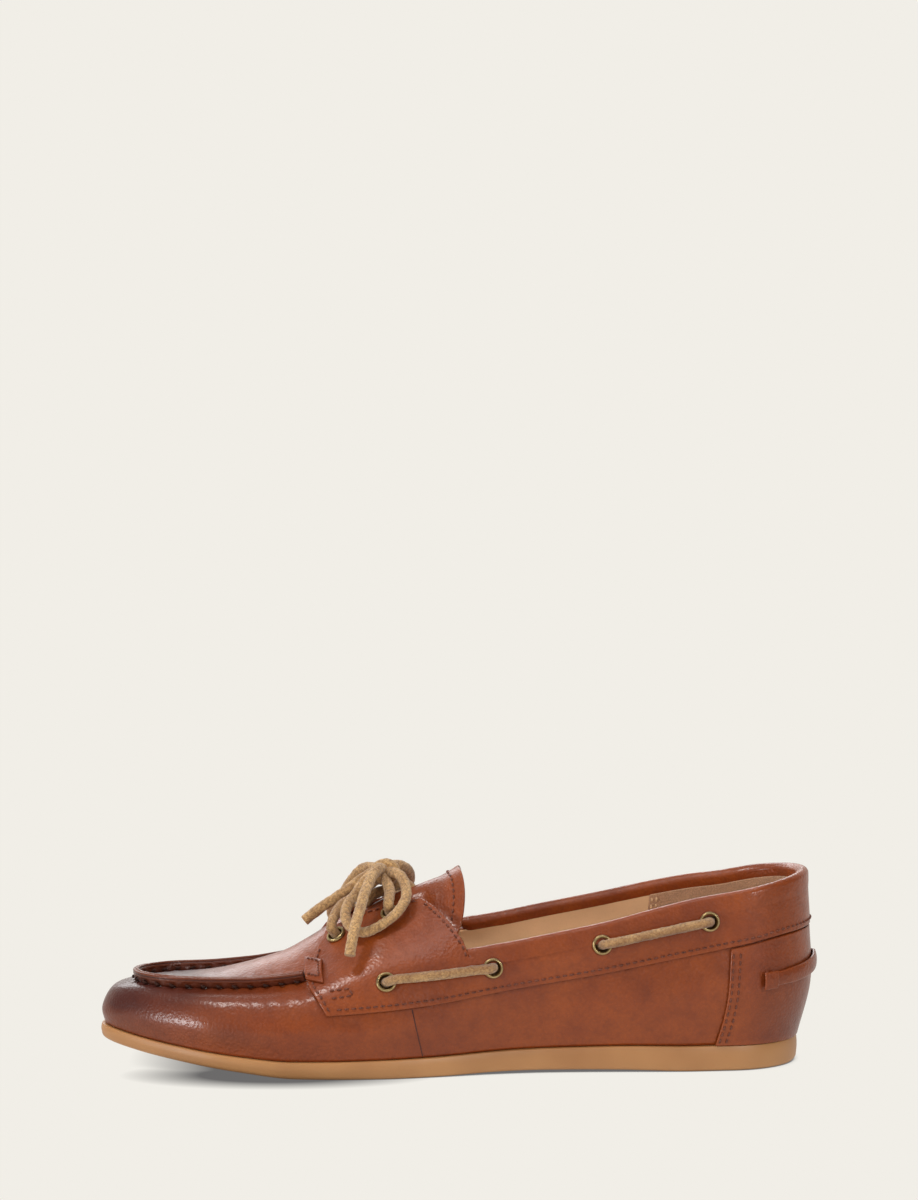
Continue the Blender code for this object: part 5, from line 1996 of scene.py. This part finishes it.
def build_stitching():
    """All the thread that shows, in one mesh for each panel."""
    for side in ("outer", "inner"):
        rows = Stitches("stitching_saddle_" + side, "brown_thread")
        stitch_saddle(rows, side)
        rows.build()
        rows = Stitches("stitching_counter_" + side, "brown_thread")
        for distance in COUNTER_ROWS:
            line = []
            for i in range(40):
                q, t = counter_place(1.0, side, 0.02 + 0.94 * i / 39)
                on_top = LEAF_GAP + COUNTER_LEATHER
                line.append(on_sheet(moved_back(q, t, side, distance), t, side, on_top))
            rows.row(line)
        rows.build()
        rows = Stitches("stitching_heel_lining_" + side, "tan_thread")
        for distance in SUEDE_ROWS:
            line = []
            for i in range(40):
                q = q_of(HEEL_SUEDE_FRONT)
                t = 0.08 + (SEAM_KNOT - 0.10) * i / 39
                off = -(UPPER_WALL + 2 * LINING_GAP + LINING_WALL + HEEL_SUEDE)
                point, normal = on_sheet(moved_back(q, t, side, distance), t, side, off)
                line.append((point, -normal))
            rows.row(line, SUEDE_PITCH)
        rows.build()
    rows = Stitches("stitching_tongue", "brown_thread")
    line = []
    for i in range(61):
        across = -0.94 + 1.88 * i / 60
        q, t, side, offset = tongue_place(tongue_end(across) + TONGUE_STITCH, across)
        line.append((offset_point(q, t, side, offset), last_normal(q, t, side)))
    rows.row(line, TONGUE_PITCH)
    rows.build()
    build_hand_stitches()
    for side in ("outer", "inner"):
        build_side_seam(side)


def build_hand_stitches():
    """The thick hand stitches at the base of the ridge, outside and inside."""
    pitch = bpy.context.scene.boat_shoe_sizes.seam_pitch
    # The stitches are drawn near black as painted shadow of the slots between the pinches.
    rows = Stitches("stitching_seam", "dark_thread")
    route, ups = seam_ridge_route(SEAM_GAP)
    lengths = running_lengths(route)
    middle = lengths[-1] / 2
    reach = math.floor((middle - 0.002) / pitch)
    for lean in (-1.0, 1.0):
        for number in range(-reach, reach + 1):
            length = middle + number * pitch
            spot = read_along(lengths, route, length)
            normal = read_along(lengths, ups, length)
            after = read_along(lengths, route, length + 0.0004)
            way = (after - spot) / np.linalg.norm(after - spot)
            out = lean * np.cross(way, normal)
            half = way * pitch * HAND_STITCH_SHARE / 2
            base = spot + out * HAND_STITCH_FOOT_OUT - normal * HAND_STITCH_FOOT_DOWN
            top = spot + out * HAND_STITCH_HEAD_OUT + normal * HAND_STITCH_HEAD_UP
            rows.stitch(base - half, top + half, out, HAND_STITCH_RADIUS)
    rows.build()


def build_side_seam(side):
    """The plain upright seam in the side of the quarter."""
    count = 40
    route, ups = [], []
    for i in range(count + 1):
        share = i / count
        along = SIDE_SEAM_LOW + (SIDE_SEAM_HIGH - SIDE_SEAM_LOW) * share
        q = q_of(along)
        t = 0.01 + (hem_t(q, side) - 0.02) * share
        point, normal = on_sheet(q, t, side, SIDE_SEAM_LIFT)
        route.append(point)
        ups.append(normal)
    route = np.array(route)
    frames = leaning_frames(route, ups)
    around = 8

    def section(_, angle):
        return SIDE_SEAM_RADIUS * (1.0 - 0.4 * math.cos(angle) ** 2)

    dark = [1.0] * (len(route) * around)
    finishes = ["dark_burnished_leather"]
    swept("side_seam_" + side, route, frames, section, around, finishes, dark=dark)


# Stage

def aim(made, place, target):
    """Puts an object at a place, turned towards a target."""
    made.location = place
    way = Vector(target) - Vector(place)
    made.rotation_euler = way.to_track_quat("-Z", "Y").to_euler()


def area_light(name, place, target, size, power, colour):
    """A rectangular lamp at a place, aimed at a target."""
    light = bpy.data.lights.new(name, "AREA")
    light.shape = "RECTANGLE"
    light.size, light.size_y = size
    light.energy = power
    light.color = colour
    made = bpy.data.objects.new(name, light)
    bpy.context.scene.collection.objects.link(made)
    aim(made, place, target)
    return made


def paper_backdrop(colour):
    """Seamless background paper, lit so evenly that it shows one pale colour but for soft shade."""
    made = bpy.data.materials.new("paper_backdrop")
    made.use_nodes = True
    tree = made.node_tree
    tree.nodes.clear()
    # Painted shadow: darker where the shoe closes over the paper, faded out at the toe's tip, and in a
    # soft oval below the toe.
    near = add_node(
        tree, "ShaderNodeAmbientOcclusion", {"Distance": CONTACT_REACH}, samples=16, only_local=False
    ).outputs["AO"]
    place = add_node(tree, "ShaderNodeNewGeometry").outputs["Position"]
    east = add_node(tree, "ShaderNodeSeparateXYZ", None, {"Vector": place}).outputs["X"]
    closed = ranged(tree, near, 0.20, 0.55, 1.0, 0.0)
    under = maths(tree, "MULTIPLY", closed, ranged(tree, east, -0.122, -0.090, 0.0, 1.0))
    middle, half = TOE_SHADE_CENTRE, TOE_SHADE_HALF
    moved = vector_maths(tree, "ADD", place, (-middle[0], -middle[1], 0.0))
    shrunk = vector_maths(tree, "MULTIPLY", moved, (1 / half[0], 1 / half[1], 0.0))
    away = vector_maths(tree, "LENGTH", shrunk, output="Value")
    painted_toe_shadow = ranged(tree, away, 0.50, 1.0, 1.0, 0.0)
    darker = maths(tree, "MAXIMUM", under, painted_toe_shadow)
    free_of_painted_shadow = ranged(tree, darker, 0.0, 1.0, 1.0, 0.0)
    shade = tuple(c * share for c, share in zip(colour, (0.17, 0.17, 0.18)))
    colour_now = mixed(tree, free_of_painted_shadow, shade, colour)
    glow = add_node(tree, "ShaderNodeEmission", {"Strength": 1.0}, {"Color": colour_now})
    add_node(tree, "ShaderNodeOutputMaterial", None, {"Surface": glow.outputs["Emission"]})
    return made


def build_stage():
    """The paper floor that curves up behind, the lights and the camera."""
    shades = bpy.context.scene.boat_shoe_colours
    width, front, back, height, curve = 8.0, -5.0, 2.2, 3.2, 1.2
    section = [(front, 0.0)]
    for step in range(17):
        turn = math.pi / 2 * step / 16
        section.append((back - curve + curve * math.sin(turn), curve - curve * math.cos(turn)))
    section.append((back, height))
    points = []
    for y, z in section:
        points += [(-width / 2, y, z), (width / 2, y, z)]
    faces = [(2 * i, 2 * i + 1, 2 * i + 3, 2 * i + 2) for i in range(len(section) - 1)]
    mesh = bpy.data.meshes.new("paper_floor")
    mesh.from_pydata(points, [], faces)
    mesh.shade_smooth()
    mesh.materials.append(paper_backdrop(tuple(shades.paper)))
    floor = bpy.data.objects.new("paper_floor", mesh)
    bpy.context.scene.collection.objects.link(floor)
    world = bpy.data.worlds.new("studio")
    world.use_nodes = True
    sky = world.node_tree.nodes["Background"]
    sky.inputs["Color"].default_value = (1.0, 0.99, 0.97, 1.0)
    sky.inputs["Strength"].default_value = SKY_STRENGTH
    bpy.context.scene.world = world
    for name, place, size, power, colour in LAMPS:
        lamp = area_light(name, place, LIT_POINT, size, power, colour)
        lamp.visible_glossy = name != "fill"
    place_camera()
    bpy.context.scene.view_settings.view_transform = "Standard"


def place_camera():
    """The camera that shows the shoe as the photograph does."""
    azimuth, elevation = math.radians(CAMERA_AZIMUTH), math.radians(CAMERA_ELEVATION)
    back = np.array(
        (
            math.sin(azimuth) * math.cos(elevation),
            -math.cos(azimuth) * math.cos(elevation),
            math.sin(elevation),
        )
    )
    target = np.array(LOOKED_AT)
    place = target + back * CAMERA_DISTANCE
    dx = LOOKED_AT_PIXEL[0] - PHOTO_SIZE[0] / 2
    dy = LOOKED_AT_PIXEL[1] - PHOTO_SIZE[1] / 2
    focal = PIXELS_PER_METRE * CAMERA_DISTANCE
    for _ in range(4):
        focal = PIXELS_PER_METRE * CAMERA_DISTANCE * math.cos(math.atan(math.hypot(dx, dy) / focal))
    depth = -back
    right = np.cross(depth, (0.0, 0.0, 1.0))
    right /= np.linalg.norm(right)
    up = np.cross(right, depth)
    roll = math.radians(CAMERA_ROLL)
    rolled_right = right * math.cos(roll) + up * math.sin(roll)
    rolled_up = -right * math.sin(roll) + up * math.cos(roll)
    way = np.array((dx, -dy, focal)) / np.linalg.norm((dx, dy, focal))
    yaw, pitch = math.atan2(way[0], way[2]), math.asin(way[1])
    look = depth * math.cos(pitch) - rolled_up * math.sin(pitch)
    top = depth * math.sin(pitch) + rolled_up * math.cos(pitch)
    ahead = look * math.cos(yaw) - rolled_right * math.sin(yaw)
    side = look * math.sin(yaw) + rolled_right * math.cos(yaw)
    camera = bpy.data.cameras.new("camera")
    camera.sensor_fit = "VERTICAL"
    camera.sensor_height = SENSOR
    camera.lens = SENSOR * focal / PHOTO_SIZE[1]
    camera.clip_start = 0.05
    made = bpy.data.objects.new("camera", camera)
    matrix = Matrix.Identity(4)
    for row in range(3):
        matrix[row][0], matrix[row][1] = side[row], top[row]
        matrix[row][2], matrix[row][3] = -ahead[row], place[row]
    made.matrix_world = matrix
    bpy.context.scene.collection.objects.link(made)
    bpy.context.scene.camera = made


# Settings, operators and panel

def colour_property(name, description, shade):
    return FloatVectorProperty(
        name=name, description=description, default=linear(shade), subtype="COLOR", min=0.0, max=1.0
    )


class BoatShoeColours(bpy.types.PropertyGroup):
    leather: colour_property("Leather", "Middle tone of the burnished leather", "#78300a")
    leather_light: colour_property("Leather, light", "Rubbed and lit leather", "#96450f")
    leather_dark: colour_property("Leather, dark", "Burnished leather", "#46190f")
    gum: colour_property("Gum rubber", "Wall of the sole", "#b27f4e")
    gum_dark: colour_property("Gum rubber, dark", "Clouds in the rubber", "#966439")
    lining: colour_property("Lining", "Lining leather and footbed", "#e2b68a")
    heel_suede: colour_property("Heel lining", "Suede that lines the heel", "#c89670")
    lace: colour_property("Lace", "Napped rawhide", "#e8bb7e")
    lace_dark: colour_property("Lace, dark", "Shaded side of the rawhide", "#7d4d27")
    brass: colour_property("Brass", "Rubbed rims of the eyelets", "#bfa877")
    thread: colour_property("Thread", "Waxed thread", "#7c4330")
    paper: colour_property("Paper", "Backdrop and floor", "#f1eee7")


class BoatShoeSizes(bpy.types.PropertyGroup):
    grain: FloatProperty(
        name="Grain", description="Size of the leather's pebbles", default=0.0008, unit="LENGTH"
    )
    stitch_pitch: FloatProperty(
        name="Stitch pitch", description="From one stitch to the next", default=0.0026, unit="LENGTH"
    )
    seam_pitch: FloatProperty(
        name="Seam pitch", description="Between the hand stitches", default=0.0058, unit="LENGTH"
    )
    thread: FloatProperty(
        name="Thread", description="Thickness of the thread", default=0.00078, unit="LENGTH"
    )


def operator(name, label, words, build):
    """An operator class for one piece: its name, label, docstring and the function that it runs."""

    def execute(self, context):
        build()
        return {"FINISHED"}

    members = {
        "bl_idname": "boat_shoe." + name,
        "bl_label": label,
        "bl_options": {"REGISTER", "UNDO"},
        "__doc__": words,
        "execute": execute,
    }
    return type("BOATSHOE_OT_" + name, (bpy.types.Operator,), members)


PIECES = (
    ("stage", "Stage", "Adds the paper floor, the lights and the camera", build_stage),
    ("bow", "Bow", "Ties the two bow laces, the crossing and the knot", build_bow),
    ("side_laces", "Side laces", "Runs the lace along each side", build_side_laces),
    ("sole", "Sole", "Moulds the gum rubber sole", build_sole),
    ("footbed", "Footbed", "Lays the covered insole", build_insole),
    ("upper", "Upper", "Lasts the leather upper", build_upper),
    ("lining", "Lining", "Lines the upper and the heel", build_lining),
    ("saddle", "Saddle", "Lays the saddle overlay", build_saddle),
    ("counter", "Counter", "Lays the heel counter panel", build_counter),
    ("strap", "Strap", "Lays the strap round the heel", build_strap),
    ("ridge", "Seam ridge", "Raises the hand-sewn seam and its tabs", build_ridge),
    ("collar", "Collar", "Rolls the collar edge", build_collar),
    ("tongue", "Tongue", "Sets the lined tongue", build_tongue),
    ("eyelets", "Eyelets", "Presses in the brass eyelets", build_eyelets),
    ("stitching", "Stitching", "Sews every row of thread", build_stitching),
)
OPERATORS = [operator(*row) for row in PIECES]


class BOATSHOE_PT_panel(bpy.types.Panel):
    """The boat shoe's settings and pieces."""

    bl_label = "Boat shoe"
    bl_idname = "BOATSHOE_PT_panel"
    bl_space_type = "VIEW_3D"
    bl_region_type = "UI"
    bl_category = "Boat shoe"

    def draw(self, context):
        for group in (context.scene.boat_shoe_colours, context.scene.boat_shoe_sizes):
            for key in group.bl_rna.properties.keys():
                if key not in ("rna_type", "name"):
                    self.layout.prop(group, key)
        for row in PIECES:
            self.layout.operator("boat_shoe." + row[0])


CLASSES = [BoatShoeColours, BoatShoeSizes, *OPERATORS, BOATSHOE_PT_panel]


def register():
    for one in CLASSES:
        bpy.utils.register_class(one)
    bpy.types.Scene.boat_shoe_colours = PointerProperty(type=BoatShoeColours)
    bpy.types.Scene.boat_shoe_sizes = PointerProperty(type=BoatShoeSizes)


def unregister():
    del bpy.types.Scene.boat_shoe_sizes
    del bpy.types.Scene.boat_shoe_colours
    for one in reversed(CLASSES):
        bpy.utils.unregister_class(one)


def main():
    register()
    for row in PIECES:
        getattr(bpy.ops.boat_shoe, row[0])()


if __name__ == "__main__":
    main()
